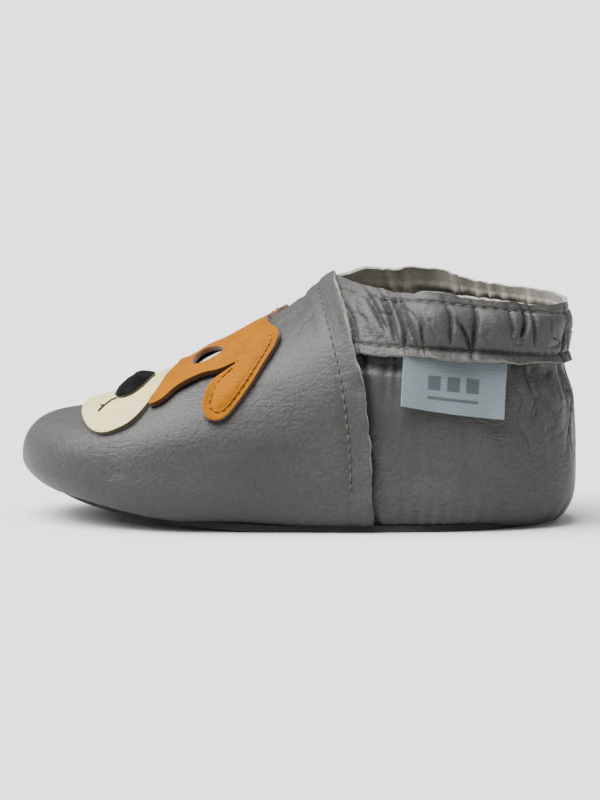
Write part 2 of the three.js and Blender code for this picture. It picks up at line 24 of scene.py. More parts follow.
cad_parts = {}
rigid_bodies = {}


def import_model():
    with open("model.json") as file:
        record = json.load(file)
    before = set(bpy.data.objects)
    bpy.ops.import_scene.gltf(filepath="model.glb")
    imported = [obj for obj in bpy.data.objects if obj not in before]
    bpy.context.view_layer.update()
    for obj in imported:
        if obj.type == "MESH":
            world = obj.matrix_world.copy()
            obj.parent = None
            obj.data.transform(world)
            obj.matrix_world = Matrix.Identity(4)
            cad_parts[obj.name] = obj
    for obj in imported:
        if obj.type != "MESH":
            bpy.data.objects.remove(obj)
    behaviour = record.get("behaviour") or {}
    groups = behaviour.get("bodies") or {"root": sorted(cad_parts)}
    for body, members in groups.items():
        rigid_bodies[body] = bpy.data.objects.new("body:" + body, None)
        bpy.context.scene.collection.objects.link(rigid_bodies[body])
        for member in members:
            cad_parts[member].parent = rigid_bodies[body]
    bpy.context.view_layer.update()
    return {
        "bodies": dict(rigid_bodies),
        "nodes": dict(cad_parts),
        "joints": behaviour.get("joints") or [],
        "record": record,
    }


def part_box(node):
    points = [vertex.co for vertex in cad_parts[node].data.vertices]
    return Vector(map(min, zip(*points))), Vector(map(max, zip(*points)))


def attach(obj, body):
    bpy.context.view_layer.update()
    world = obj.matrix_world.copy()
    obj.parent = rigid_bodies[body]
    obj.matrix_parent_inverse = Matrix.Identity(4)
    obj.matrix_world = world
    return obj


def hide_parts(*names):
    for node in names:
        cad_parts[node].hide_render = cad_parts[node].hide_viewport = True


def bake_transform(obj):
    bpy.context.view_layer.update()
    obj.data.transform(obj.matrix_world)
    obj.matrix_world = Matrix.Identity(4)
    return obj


LOG = logging.getLogger("bootie")
MM = 0.001
GAP = 0.3  # between pieces that touch, as in the frame
LEATHER = 1.2  # upper leather
QUARTER_OUT = -GAP  # the quarter's outer face, off the last
QUARTER_IN = QUARTER_OUT - LEATHER
SUEDE = 1.5  # outsole
SOCK = 1.2  # insole cover
MARGIN_Z = SUEDE + GAP  # underside of the turned-in upper, over the tread
WEDGE = 0.62  # a climb well up the wall, where a search for a height starts
HASH_STEPS = np.array([73856093, 19349663, 83492791])
HASH_MIX = 1274126177
HASH_RANGE = 10007
CROWDED = 0.7  # millimetres round a pole that become one vertex
WELD = 5e-5  # vertices closer than this, in metres, become one
WAVE_UNIT = math.pi / 10  # a wave texture of this scale repeats once per unit
MIX_SHARE, MIX_FIRST, MIX_SECOND, MIX_RESULT = 0, 6, 7, 2  # a colour mix node's sockets
TINY = 1e-12  # keeps a division from meeting zero
VOTES = 400  # vertices asked which way a sheet faces
BEVEL_ABOVE = 64  # degrees; flatter corners stay as they are

Array = np.ndarray
Outline = list[tuple[float, float]]


class Side(Enum):
    """The two sides of the bootie, by the sign of Y."""

    LATERAL = -1
    MEDIAL = 1


class Rim(Enum):
    """Material slots of a sheet with thickness."""

    FACE = 0
    CUT = 1
    BACK = 2


# ---- Small mathematics --------------------------------------------------------------------------


def ease(low: float, high: float, x: Array | float) -> Array:
    """Smooth step from 0 at low to 1 at high.

    Args:
        low: Where the step starts.
        high: Where it ends.
        x: Values.

    Returns:
        The step's height.
    """
    t = np.clip((np.asarray(x, float) - low) / (high - low), 0, 1)
    return t * t * (3 - 2 * t)


def unit(v: Array) -> Array:
    """Vectors along the last axis scaled to length 1.

    Args:
        v: Vectors.

    Returns:
        The unit vectors.
    """
    return v / np.maximum(np.linalg.norm(v, axis=-1, keepdims=True), TINY)


def halve(low: Array, high: Array, below: Callable[[Array], Array], rounds: int = 20) -> Array:
    """Root of a rising test by repeated halving.

    Args:
        low: Lower bounds.
        high: Upper bounds.
        below: Says for each trial value whether it is still too low.
        rounds: How often the interval is halved.

    Returns:
        The middle of the last interval.
    """
    low, high = low.copy(), high.copy()
    for _ in range(rounds):
        mid = (low + high) / 2
        under = below(mid)
        low = np.where(under, mid, low)
        high = np.where(under, high, mid)
    return (low + high) / 2


def lattice(points: Array) -> Array:
    """Smooth noise from -1 to 1 with one bump per unit.

    Args:
        points: Places in the noise's space.

    Returns:
        The noise at each.
    """
    base = np.floor(points).astype(np.int64)
    part = points - base
    blend = part**3 * (part * (part * 6 - 15) + 10)
    total = np.zeros(points.shape[:-1])
    for corner in itertools.product((0, 1), repeat=3):
        cell = (base + corner) * HASH_STEPS
        mixed = cell[..., 0] ^ cell[..., 1] ^ cell[..., 2]
        mixed = ((mixed ^ (mixed >> 13)) * HASH_MIX) & 0x7FFFFFFF
        weight = np.prod(np.where(corner, blend, 1 - blend), axis=-1)
        total += weight * ((mixed % HASH_RANGE) / (HASH_RANGE / 2) - 1)
    return total


def rough(points: Array, scale: tuple[float, float, float], octaves: int = 3, seed: float = 0.0) -> Array:
    """Fractal noise at points in millimetres.

    Args:
        points: (N, 3) points.
        scale: Size of the largest bumps along X, Y and Z, in millimetres.
        octaves: How many finer layers are added.
        seed: Moves the pattern.

    Returns:
        About -1 to 1 for each point.
    """
    at = points / np.array(scale) + seed * 7.31
    return 1.4 * sum(0.5**i * lattice(at * 2.03**i + i * 3.7) for i in range(octaves))


def on_flat(flat: Array) -> Array:
    """Flat places as points of a noise's space.

    Args:
        flat: Flat places.

    Returns:
        The places with a third coordinate of 0.
    """
    return np.concatenate([flat, flat[:, :1] * 0], -1)


def wrinkles(points: Array, scale: tuple[float, float, float], width: float, seed: float = 0.0) -> Array:
    """Thin valleys along the lines where a noise changes sign.

    Args:
        points: (N, 3) points in millimetres.
        scale: Spacing of the lines along X, Y and Z.
        width: Share of the spacing that a valley takes.
        seed: Moves the pattern.

    Returns:
        0 between the valleys to -1 on their floors.
    """
    warped = points + 1.6 * np.stack([rough(points, (6, 6, 6), 2, seed + k) for k in range(3)], -1)
    lines = np.abs(rough(warped, scale, 2, seed))
    return -((1 - np.clip(lines / width, 0, 1)) ** 2)


# ---- The last -----------------------------------------------------------------------------------


@dataclass(frozen=True)
class Last:
    """The foot-shaped form the leather is laid on; sizes in millimetres, as in the frame.

    turn runs from 0 at the toe tip to pi at the back of the heel; climb from -1 at the feather
    line over 0 at the widest line to 1 on the crest; side is -1 lateral, +1 medial.
    """

    length: float = 134
    ball_x: float = -25
    lateral: float = 29.6
    medial: float = 28.0
    toe_bend: float = 2.2
    heel_bend: float = 2.75
    evening: float = 1.25
    toe_skew: float = 3
    toe_spring: float = 6.8
    tongue: tuple[float, float] = (8.5, 60.2)
    vamp_foot_x: float = 19.5
    edge_bend: float = 2.8
    rim: tuple[float, float] = (59.2, 53.0)
    cuff_seam: tuple[float, float] = (45.0, 40.9)
    rim_seam: float = 2.6
    flange: float = 2.1
    crest_points: tuple[tuple[float, float], ...] = (
        (-54.5, 24.7),
        (-44, 27.4),
        (-33, 32.4),
        (-21, 39.0),
        (-9, 45.2),
        (0, 51.2),
        (8.5, 58.9),
        (24, 71),
        (40, 86),
    )

    @property
    def toe_reach(self) -> float:
        """From the ball to the toe tip.

        Returns:
            The distance.
        """
        return self.length / 2 + self.ball_x - LEATHER

    @property
    def heel_reach(self) -> float:
        """From the ball to the back of the heel.

        Returns:
            The distance.
        """
        return self.length / 2 - self.ball_x + GAP

    @cached_property
    def crest_table(self) -> Array:
        """Points along a centripetal spline through the crest points.

        Returns:
            The points.
        """
        p = np.array(self.crest_points, float)
        p = np.vstack([2 * p[0] - p[1], p, 2 * p[-1] - p[-2]])
        rows = []
        for a, b, c, d in zip(p, p[1:], p[2:], p[3:]):
            ab, bc, cd = (math.sqrt(math.dist(*pair)) for pair in ((a, b), (b, c), (c, d)))
            start = ((b - a) / ab - (c - a) / (ab + bc) + (c - b) / bc) * bc
            stop = ((c - b) / bc - (d - b) / (bc + cd) + (d - c) / cd) * bc
            t = np.linspace(0, 1, 31)[:, None]
            cubic = b + start * t + (3 * (c - b) - 2 * start - stop) * t**2
            rows.append(cubic + (2 * (b - c) + start + stop) * t**3)
        return np.vstack(rows)

    def crest_height(self, x: Array) -> Array:
        """Height of the crest line at a station.

        Args:
            x: Stations along the last.

        Returns:
            The heights.
        """
        return np.interp(x, self.crest_table[:, 0], self.crest_table[:, 1])

    def tread(self, x: Array) -> Array:
        """Height of the sole's underside: flat to the arch, lifting towards the toe.

        Args:
            x: Stations along the last.

        Returns:
            The heights.
        """
        return self.toe_spring * 1.35 * (np.maximum(0, -x) / (self.length / 2)) ** 1.9

    def rim_height(self, x: Array) -> Array:
        """Top edge of the cuff.

        Args:
            x: Stations along the last.

        Returns:
            The heights.
        """
        slope = (self.rim[1] - self.rim[0]) / (self.length / 2 - self.tongue[0])
        return self.rim[0] + slope * (x - self.tongue[0])

    def rim_sway(self, x: Array, side: Array) -> Array:
        """How the worn cuff's rim leaves its cut line: up on the medial front, down on the lateral side.

        Args:
            x: Stations along the last.
            side: The side each is on.

        Returns:
            The distances, up positive.
        """
        medial = 0.3 + 1.7 * ease(10, 16, x) * (1 - ease(24, 48, x))
        return np.where(side > 0, medial, -0.75 * ease(9, 14, x) * (1 - ease(60, 67, x)))

    def seam_height(self, x: Array) -> Array:
        """Lower stitch line of the cuff.

        Args:
            x: Stations along the last.

        Returns:
            The heights.
        """
        slope = (self.cuff_seam[1] - self.cuff_seam[0]) / (self.length / 2 - self.tongue[0])
        return self.cuff_seam[0] + slope * (x - self.tongue[0])

    def vamp_edge(self, z: Array) -> Array:
        """Station of the vamp's rear edge at a height.

        Args:
            z: Heights.

        Returns:
            The stations.
        """
        reach = self.vamp_foot_x - self.tongue[0]
        return self.vamp_foot_x - reach * (np.clip(z, 0, 90) / self.tongue[1]) ** self.edge_bend

    def edge_turn(self, climb: Array, side: Array, ahead: float = 0.0) -> Array:
        """The turn at which a line of equal climb meets the vamp's rear edge.

        Args:
            climb: The lines.
            side: Their sides.
            ahead: Meets a line this far ahead of the edge instead.

        Returns:
            The turns.
        """
        low, high = np.full(climb.shape, math.pi * 0.3), np.full(climb.shape, math.pi * 0.9)

        def below(turn: Array) -> Array:
            """Whether a trial turn has not reached the edge yet.

            Args:
                turn: Trial turns.

            Returns:
                True where it is so.
            """
            p = self.point(turn, climb, side)
            return p[:, 0] < self.vamp_edge(p[:, 2]) - ahead

        return halve(low, high, below)

    def widest_height(self, x: Array) -> Array:
        """Height of the widest line, which sinks towards the heel.

        Args:
            x: Stations along the last.

        Returns:
            The heights.
        """
        return 15 - 4.5 * (x + self.length / 2) / self.length

    def middle(self, x: Array) -> Array:
        """Y of the centre line.

        Args:
            x: Stations along the last.

        Returns:
            The distances across.
        """
        return self.toe_skew * (np.maximum(0, self.ball_x - x) / self.toe_reach) ** 2

    def station(self, turn: Array, side: Array) -> dict[str, Array]:
        """Widest point, crest point and section shape at each turn.

        Args:
            turn: Turns round the last.
            side: The side each is on.

        Returns:
            The points and the shape, by name.
        """
        ahead = turn < math.pi / 2
        share = np.abs(turn / (math.pi / 2) - 1) ** self.evening
        bend = 2 / np.where(ahead, self.toe_bend, self.heel_bend)
        along = np.sin(share * math.pi / 2) ** bend
        across = np.maximum(0, np.cos(share * math.pi / 2)) ** bend
        x = self.ball_x + np.where(ahead, -self.toe_reach, self.heel_reach) * along
        first, last = self.crest_points[0][0], self.crest_points[-1][0]
        crest_x = self.ball_x + np.where(ahead, first - self.ball_x, last - self.ball_x) * along
        waist = 2.2 * np.exp(-(((x - 10) / 20) ** 2))
        half = np.where(side < 0, self.lateral, self.medial) * across - waist * ease(0, 0.5, across)
        widest = np.stack([x, self.middle(x) + side * half, self.widest_height(x)], -1)
        crest = np.stack([crest_x, self.middle(crest_x), self.crest_height(crest_x)], -1)
        bulge = 0.35 * ease(0.3, 0.6, along) * (1 - ease(0.6, 1, along))
        power = np.where(ahead, 2.15 + 0.2 * (1 - along), 2.35 + bulge)
        return {"widest": widest, "crest": crest, "power": power, "along": along, "ahead": ahead}

    def feather(self, turn: Array, side: Array) -> tuple[Array, Array]:
        """Points where the upper meets the sole, and the way outwards in plan.

        Args:
            turn: Turns round the last.
            side: The side each is on.

        Returns:
            The points and the ways outwards.
        """
        s = self.station(turn, side)
        outward = (s["widest"] - s["crest"]) * np.array([1, 1, 0])
        outward = unit(outward)
        x = s["widest"][..., 0]
        waist = np.where(side < 0, 1.6, 1.1) * np.exp(-(((x - 12) / 22) ** 2))
        inset = 4 + (np.where(s["ahead"], 8, 6.5) - 4) * s["along"] ** 2 - waist
        point = s["widest"] - outward * inset[..., None]
        under_vamp = 1 - ease(self.vamp_foot_x + 1, self.vamp_foot_x + 14, point[..., 0])
        point[..., 2] = self.tread(point[..., 0]) + MARGIN_Z - GAP + (LEATHER + GAP) * under_vamp
        return point, outward

    def point(self, turn: Array, climb: Array, side: Array) -> Array:
        """Points on the last.

        Args:
            turn: Turns round the last.
            climb: Climbs: -1 at the sole, 0 at the widest line, 1 at the crest.
            side: The side each is on.

        Returns:
            The points.
        """
        turn, climb, side = np.broadcast_arrays(*(np.asarray(v, float) for v in (turn, climb, side)))
        s = self.station(turn, side)
        angle = np.minimum(1, np.abs(climb)) * math.pi / 2
        under = climb < 0
        bend = np.where(under, 2.3, s["power"])
        end = np.where(under[..., None], self.feather(turn, side)[0], s["crest"])
        out = np.maximum(0, np.cos(angle)) ** (2 / bend)
        up = np.sin(angle) ** (2 / bend)
        flat = end[..., :2] + (s["widest"] - end)[..., :2] * out[..., None]
        height = s["widest"][..., 2] + (end - s["widest"])[..., 2] * up
        return np.concatenate([flat, height[..., None]], -1)

    def normal(self, turn: Array, climb: Array, side: Array) -> Array:
        """Outward directions on the last.

        Args:
            turn: Turns round the last.
            climb: Climbs: -1 at the sole, 0 at the widest line, 1 at the crest.
            side: The side each is on.

        Returns:
            The directions.
        """
        turn, climb, side = np.broadcast_arrays(*(np.asarray(v, float) for v in (turn, climb, side)))
        step = 1e-3
        t = np.clip(turn, step, math.pi - step)
        c = np.clip(climb, step - 1, 1 - step)
        on_seam = (climb > 1 - step) | (turn < step) | (turn > math.pi - step)
        hand = np.where(on_seam, -1, side)
        along_turn = self.point(t + step, c, hand) - self.point(t - step, c, hand)
        along_climb = self.point(t, c + step, hand) - self.point(t, c - step, hand)
        n = unit(np.cross(along_climb, along_turn) * hand[..., None])
        n[..., 1] = np.where(on_seam, 0, n[..., 1])
        return unit(n)

    def climb_to(self, turn: Array, side: Array, height: Array) -> Array:
        """The climb at which a turn's wall reaches a height.

        Args:
            turn: Turns round the last.
            side: The side each is on.
            height: Heights.

        Returns:
            The climbs.
        """
        turn, side, height = np.broadcast_arrays(turn, side, height)
        low, high = np.full(turn.shape, -1.0), np.full(turn.shape, 0.98)
        return halve(low, high, lambda c: self.point(turn, c, side)[..., 2] < height)

    def turn_to(self, climb: Array, side: Array, x: Array) -> Array:
        """The turn at which a line of equal climb reaches a station.

        Args:
            climb: Climbs: -1 at the sole, 0 at the widest line, 1 at the crest.
            side: The side each is on.
            x: Stations along the last.

        Returns:
            The turns.
        """
        climb, side, x = np.broadcast_arrays(climb, side, x)
        low, high = np.zeros(x.shape), np.full(x.shape, math.pi)
        return halve(low, high, lambda t: self.point(t, climb, side)[..., 0] < x)

    def on_wall(
        self, turn: Array, side: Array, height_of: Callable[[Array], Array]
    ) -> tuple[Array, Array, Array]:
        """Points on the wall at a height that may depend on the station.

        Args:
            turn: Turns.
            side: Their sides.
            height_of: The height wanted at each station.

        Returns:
            Points, outward normals and stations.
        """
        turn, side = np.broadcast_arrays(np.asarray(turn, float), np.asarray(side, float))
        x = self.point(turn, np.full(turn.shape, WEDGE), side)[..., 0]
        climb = np.zeros(turn.shape)
        for _ in range(4):
            climb = self.climb_to(turn, side, height_of(x))
            x = self.point(turn, climb, side)[..., 0]
        return self.point(turn, climb, side), self.normal(turn, climb, side), x


LAST = Last()


class LeatherMap:
    """The vamp as a flat sheet: (along, down) in millimetres to points on the last.

    along is the station, down the distance over the leather from the crest, negative on the
    lateral side.
    """

    FIRST, STOP, STEP, REACH = -58.0, 22.0, 0.5, 76.0

    def __init__(self, last: Last) -> None:
        """Measures the last's sections once.

        Args:
            last: The last.
        """
        stations = np.arange(self.FIRST, self.STOP + self.STEP, self.STEP)
        climbs = 1 - np.linspace(0, 100 / 60, 161)
        runs = np.arange(0, self.REACH + 0.5, 0.5)
        self.points: dict[int, Array] = {}
        self.normals: dict[int, Array] = {}
        for side in (-1, 1):
            grid_x, grid_c = np.meshgrid(stations, climbs, indexing="ij")
            turns = last.turn_to(np.minimum(grid_c, 0.995), np.full(grid_x.shape, side), grid_x)
            points = last.point(turns, grid_c, side)
            points[:, 0] = np.stack([stations, last.middle(stations), last.crest_height(stations)], -1)
            normals = last.normal(turns, grid_c, side)
            steps = np.linalg.norm(np.diff(points, axis=1), axis=-1)
            run = np.concatenate([np.zeros((len(stations), 1)), np.cumsum(steps, axis=1)], axis=1)
            self.points[side] = np.stack(
                [[np.interp(runs, run[i], points[i, :, k]) for k in range(3)] for i in range(len(stations))]
            ).transpose(0, 2, 1)
            self.normals[side] = np.stack(
                [[np.interp(runs, run[i], normals[i, :, k]) for k in range(3)] for i in range(len(stations))]
            ).transpose(0, 2, 1)

    def at(self, along: Array, down: Array) -> tuple[Array, Array]:
        """Points and outward normals at flat places.

        Args:
            along: Distances along the flat leather.
            down: Distances down it.

        Returns:
            The points and the normals.
        """
        along, down = np.asarray(along, float), np.asarray(down, float)
        column = np.clip((along - self.FIRST) / self.STEP, 0, len(self.points[1]) - 1.001)
        row = np.clip(np.abs(down) / 0.5, 0, self.points[1].shape[1] - 1.001)
        i, j = column.astype(int), row.astype(int)
        u, v = (column - i)[..., None], (row - j)[..., None]
        found = []
        for grids in (self.points, self.normals):
            picked = [
                grids[side][i, j] * (1 - u) * (1 - v)
                + grids[side][i + 1, j] * u * (1 - v)
                + grids[side][i, j + 1] * (1 - u) * v
                + grids[side][i + 1, j + 1] * u * v
                for side in (-1, 1)
            ]
            found.append(np.where((down < 0)[..., None], picked[0], picked[1]))
        normals = found[1]
        other = normals * np.array([1, -1, 1])
        blend = np.clip(0.5 - np.abs(down) / 6, 0, 0.5)[..., None]
        return found[0], unit(normals * (1 - blend) + other * blend)


@dataclass
class Placement:
    """Moves the last's own axes onto the frame's and turns millimetres into metres."""

    shift: Array

    @classmethod
    def from_frame(cls, last: Last) -> Placement:
        """Finds the shift from where the frame's vamp stands.

        Args:
            last: The last.

        Returns:
            The placement.
        """
        turn, climb = np.meshgrid(np.linspace(0, math.pi / 1.7, 73), np.linspace(-0.4, 0.6, 41))
        sides = [last.point(turn, climb, s) + last.normal(turn, climb, s) * LEATHER for s in (-1, 1)]
        low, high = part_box("vamp")
        cloud = np.concatenate([s.reshape(-1, 3) for s in sides])
        shift_x = low[0] / MM - cloud[:, 0].min()
        shift_y = (low[1] + high[1]) / 2 / MM - (cloud[:, 1].min() + cloud[:, 1].max()) / 2
        return cls(np.array([shift_x, shift_y, 0.0]))

    def __call__(self, points: Array) -> Array:
        """Frame coordinates in metres.

        Args:
            points: Points, in millimetres of the last.

        Returns:
            The places.
        """
        return (points + self.shift) * MM


# ---- Materials ----------------------------------------------------------------------------------


def linear(code: str) -> tuple[float, float, float, float]:
    """An sRGB hex colour as linear RGBA.

    Args:
        code: Six hex digits.

    Returns:
        The colour.
    """
    parts = [int(code[i : i + 2], 16) / 255 for i in (0, 2, 4)]
    return (*(c / 12.92 if c <= 0.04045 else ((c + 0.055) / 1.055) ** 2.4 for c in parts), 1.0)


def wire(tree: bpy.types.NodeTree, made: bpy.types.Node, inputs: dict) -> None:
    """Sets a node's inputs to values, or links them to other nodes' sockets.

    Args:
        tree: The material's node tree.
        made: The node.
        inputs: Socket name or number to a value or to another node's output socket.
    """
    for name, value in inputs.items():
        socket = made.inputs[name]
        if isinstance(value, bpy.types.NodeSocket):
            tree.links.new(value, socket)
        else:
            socket.default_value = value


def node(
    tree: bpy.types.NodeTree, kind: str, inputs: dict | None = None, **settings: object
) -> bpy.types.Node:
    """Adds a node with its settings and links.

    Args:
        tree: The material's node tree.
        kind: Blender's node type.
        inputs: Socket name or number to a value or to another node's output socket.
        settings: Attributes of the node.

    Returns:
        The new node.
    """
    made = tree.nodes.new(kind)
    for name, value in settings.items():
        setattr(made, name, value)
    wire(tree, made, inputs or {})
    return made


def wave(
    tree: bpy.types.NodeTree, coords: bpy.types.NodeSocket, bands: str, **inputs: float
) -> bpy.types.NodeSocket:
    """Bands of a wave pattern.

    Args:
        tree: The material's node tree.
        coords: Where the pattern is read.
        bands: Blender's name for the bands' direction.
        inputs: Other inputs of the node by name.

    Returns:
        The pattern, from 0 to 1.
    """
    return node(tree, "ShaderNodeTexWave", {"Vector": coords} | inputs, bands_direction=bands).outputs["Fac"]


def ramp(
    tree: bpy.types.NodeTree, source: bpy.types.NodeSocket, stops: list[tuple[float, object]]
) -> bpy.types.NodeSocket:
    """A colour ramp over a value.

    Args:
        tree: The material's node tree.
        source: The value.
        stops: Positions, each with a hex colour or a grey level.

    Returns:
        The ramp's colour.
    """
    made = node(tree, "ShaderNodeValToRGB", {"Fac": source})
    elements = made.color_ramp.elements
    while len(elements) < len(stops):
        elements.new(0.5)
    for element, (position, colour) in zip(elements, stops):
        element.position = position
        element.color = linear(colour) if isinstance(colour, str) else (colour, colour, colour, 1)
    return made.outputs["Color"]


def blank(name: str) -> tuple[bpy.types.Material, bpy.types.NodeTree, bpy.types.Node]:
    """A new material with an empty Principled surface.

    Args:
        name: The material's name.

    Returns:
        The material, its node tree and its shader.
    """
    material = bpy.data.materials.new(name)
    material.use_nodes = True
    tree = material.node_tree
    tree.nodes.clear()
    shader = node(tree, "ShaderNodeBsdfPrincipled")
    node(tree, "ShaderNodeOutputMaterial", {"Surface": shader.outputs[0]})
    return material, tree, shader


def object_coords(tree: bpy.types.NodeTree, size_mm: tuple[float, float, float]) -> bpy.types.NodeSocket:
    """Object coordinates counted in pattern repeats of the given size.

    Args:
        tree: The material's node tree.
        size_mm: The repeat along each axis, in millimetres.

    Returns:
        The coordinates.
    """
    coords = node(tree, "ShaderNodeTexCoord")
    scale = tuple(1 / (s * MM) for s in size_mm)
    return node(tree, "ShaderNodeMapping", {"Vector": coords.outputs["Object"], "Scale": scale}).outputs[0]


def mix_colour(
    tree: bpy.types.NodeTree, share: object, first: object, second: object, blend: str = "MIX"
) -> bpy.types.NodeSocket:
    """Mixes two colours or colour sockets.

    Args:
        tree: The material's node tree.
        share: How much of the second is taken.
        first: Colour or socket.
        second: Colour or socket.
        blend: Blender's name for the way of mixing.

    Returns:
        The mixed colour.
    """
    sockets = {MIX_SHARE: share, MIX_FIRST: first, MIX_SECOND: second}
    return node(tree, "ShaderNodeMix", data_type="RGBA", blend_type=blend, inputs=sockets).outputs[MIX_RESULT]


def noise(
    tree: bpy.types.NodeTree, coords: bpy.types.NodeSocket, detail: float, **more: float
) -> bpy.types.Node:
    """A noise with about one bump per unit of its coordinates.

    Args:
        tree: The material's node tree.
        coords: Where the noise is read.
        detail: How many finer layers it has.
        more: Other inputs of the node by name.

    Returns:
        The noise node.
    """
    return node(tree, "ShaderNodeTexNoise", {"Vector": coords, "Scale": 1.0, "Detail": detail} | more)


def relief(
    tree: bpy.types.NodeTree,
    height: bpy.types.NodeSocket,
    strength: float | bpy.types.NodeSocket,
    depth_mm: float,
    under: bpy.types.NodeSocket | None = None,
    **settings: object,
) -> bpy.types.NodeSocket:
    """A bump in the surface, on top of another one if it is given.

    Args:
        tree: The material's node tree.
        height: Height from 0 to 1.
        strength: Share of the bump that shows.
        depth_mm: Its full depth in millimetres.
        under: The coarser bump it lies on.
        settings: Attributes of the bump node.

    Returns:
        The bumped normal.
    """
    inputs = {"Height": height, "Strength": strength, "Distance": depth_mm * MM}
    if under is not None:
        inputs["Normal"] = under
    return node(tree, "ShaderNodeBump", inputs, **settings).outputs[0]


@dataclass(frozen=True)
class TumbledLeather:
    """Chrome-tanned garment leather, drum-tumbled.

    The drum breaks the grain into soft pebbles and leaves finer creases where the hide folded, so
    the gloss is broken up and low, and the colour shifts a little from patch to patch.
    """

    name: str
    colour: str
    shade: str
    lit: str
    grain_mm: float = 0.75
    roughness: float = 0.5
    relief: float = 0.09
    fold_relief: float = 0.25
    specular: float = 0.45
    sheen: float = 0.05

    def build(self) -> bpy.types.Material:
        """Makes the material.

        Returns:
            The material.
        """
        material, tree, shader = blank(self.name)
        g = self.grain_mm
        coords = object_coords(tree, (g, g, g))
        wander = noise(tree, object_coords(tree, (g * 2,) * 3), 2.0)
        pebbles = self.cells(tree, wander, 0.7, coords, {"Smoothness": 0.6}, "SMOOTH_F1")
        pores = noise(tree, coords, 3.0, Scale=2.4, Roughness=0.6)
        folds = noise(tree, object_coords(tree, (7.0, 5.0, 2.6)), 5.0, Roughness=0.62, Distortion=0.8)
        patches = noise(tree, object_coords(tree, (26, 26, 18)), 3.0)
        bend = noise(tree, object_coords(tree, (5, 5, 5)), 3.0)
        cracks = self.cells(tree, bend, 1.6, object_coords(tree, (2.9, 2.6, 1.3)), {}, "DISTANCE_TO_EDGE")
        gullies = ramp(tree, cracks, [(0.0, 0.35), (0.08, 0.85), (0.2, 1.0)])
        worn = ramp(tree, patches.outputs["Fac"], [(0.46, 0.0), (0.62, 0.8)])
        tone = ramp(tree, patches.outputs["Fac"], [(0.3, self.shade), (0.5, self.colour), (0.72, self.lit)])
        # Painted shade: the colour is darkened in the pebbles' valleys.
        valley_painted_shade = ramp(tree, pebbles, [(0.0, 1.0), (0.35, 1.0), (0.75, 0.8)])
        # Painted shade and highlight: the colour is darkened along the folds' low lines and lightened on
        # their crowns.
        crease_shade_and_highlight = ramp(tree, folds.outputs["Fac"], [(0.3, 0.86), (0.52, 1.0), (0.75, 1.06)])
        colour = mix_colour(tree, 1.0, tone, valley_painted_shade, "MULTIPLY")
        colour = mix_colour(tree, 1.0, colour, crease_shade_and_highlight, "MULTIPLY")
        gloss = ramp(tree, pores.outputs["Fac"], [(0.3, self.roughness - 0.08), (0.7, self.roughness + 0.1)])
        normal = relief(tree, gullies, worn, self.fold_relief * 0.6)
        normal = relief(tree, folds.outputs["Fac"], 0.6, self.fold_relief, normal)
        normal = relief(tree, pebbles, 0.8, self.relief, normal, invert=True)
        normal = relief(tree, pores.outputs["Fac"], 0.4, 0.05, normal)
        wire(tree, shader, {"Base Color": colour, "Roughness": gloss, "Normal": normal, "IOR": 1.48})
        wire(tree, shader, {"Specular IOR Level": self.specular, "Sheen Weight": self.sheen})
        wire(tree, shader, {"Sheen Roughness": 0.5})
        return material

    @staticmethod
    def cells(
        tree: bpy.types.NodeTree,
        source: bpy.types.Node,
        sway: float,
        coords: bpy.types.NodeSocket,
        inputs: dict[str, float],
        feature: str,
    ) -> bpy.types.NodeSocket:
        """Cells of a Voronoi pattern whose borders wander.

        Args:
            tree: The material's node tree.
            source: The noise that pushes the borders about.
            sway: How far it pushes them, in units of the coordinates.
            coords: The pattern's coordinates.
            inputs: Other inputs of the pattern.
            feature: Blender's name for the distance that is measured.

        Returns:
            The distance.
        """
        pushed = node(
            tree,
            "ShaderNodeVectorMath",
            {0: source.outputs["Color"], 1: (sway,) * 3, 2: coords},
            operation="MULTIPLY_ADD",
        )
        wanted = {"Vector": pushed.outputs[0], "Scale": 1.0} | inputs
        return node(tree, "ShaderNodeTexVoronoi", wanted, feature=feature).outputs["Distance"]


@dataclass(frozen=True)
class SplitSuede:
    """Suede split, or the flesh side and cut edge of leather.

    The fibres stand open where the hide was split, so the surface is matt and mottled with a
    faint halo of nap.
    """

    name: str
    colour: str
    shade: str
    nap_mm: float = 0.5
    relief: float = 0.16

    def build(self) -> bpy.types.Material:
        """Makes the material.

        Returns:
            The material.
        """
        material, tree, shader = blank(self.name)
        nap = noise(tree, object_coords(tree, (self.nap_mm,) * 3), 6.0, Roughness=0.75).outputs["Fac"]
        cloud = noise(tree, object_coords(tree, (9, 9, 9)), 4.0)
        tone = ramp(tree, cloud.outputs["Fac"], [(0.32, self.shade), (0.66, self.colour)])
        # Painted shade: the colour is darkened where the nap lies low.
        fibre = ramp(tree, nap, [(0.25, 0.72), (0.6, 1.0)])
        colour = mix_colour(tree, 1.0, tone, fibre, "MULTIPLY")
        normal = relief(tree, nap, 0.9, self.relief)
        wire(tree, shader, {"Base Color": colour, "Normal": normal, "Roughness": 0.95})
        wire(tree, shader, {"Specular IOR Level": 0.15, "Sheen Weight": 0.35, "Sheen Roughness": 0.6})
        return material


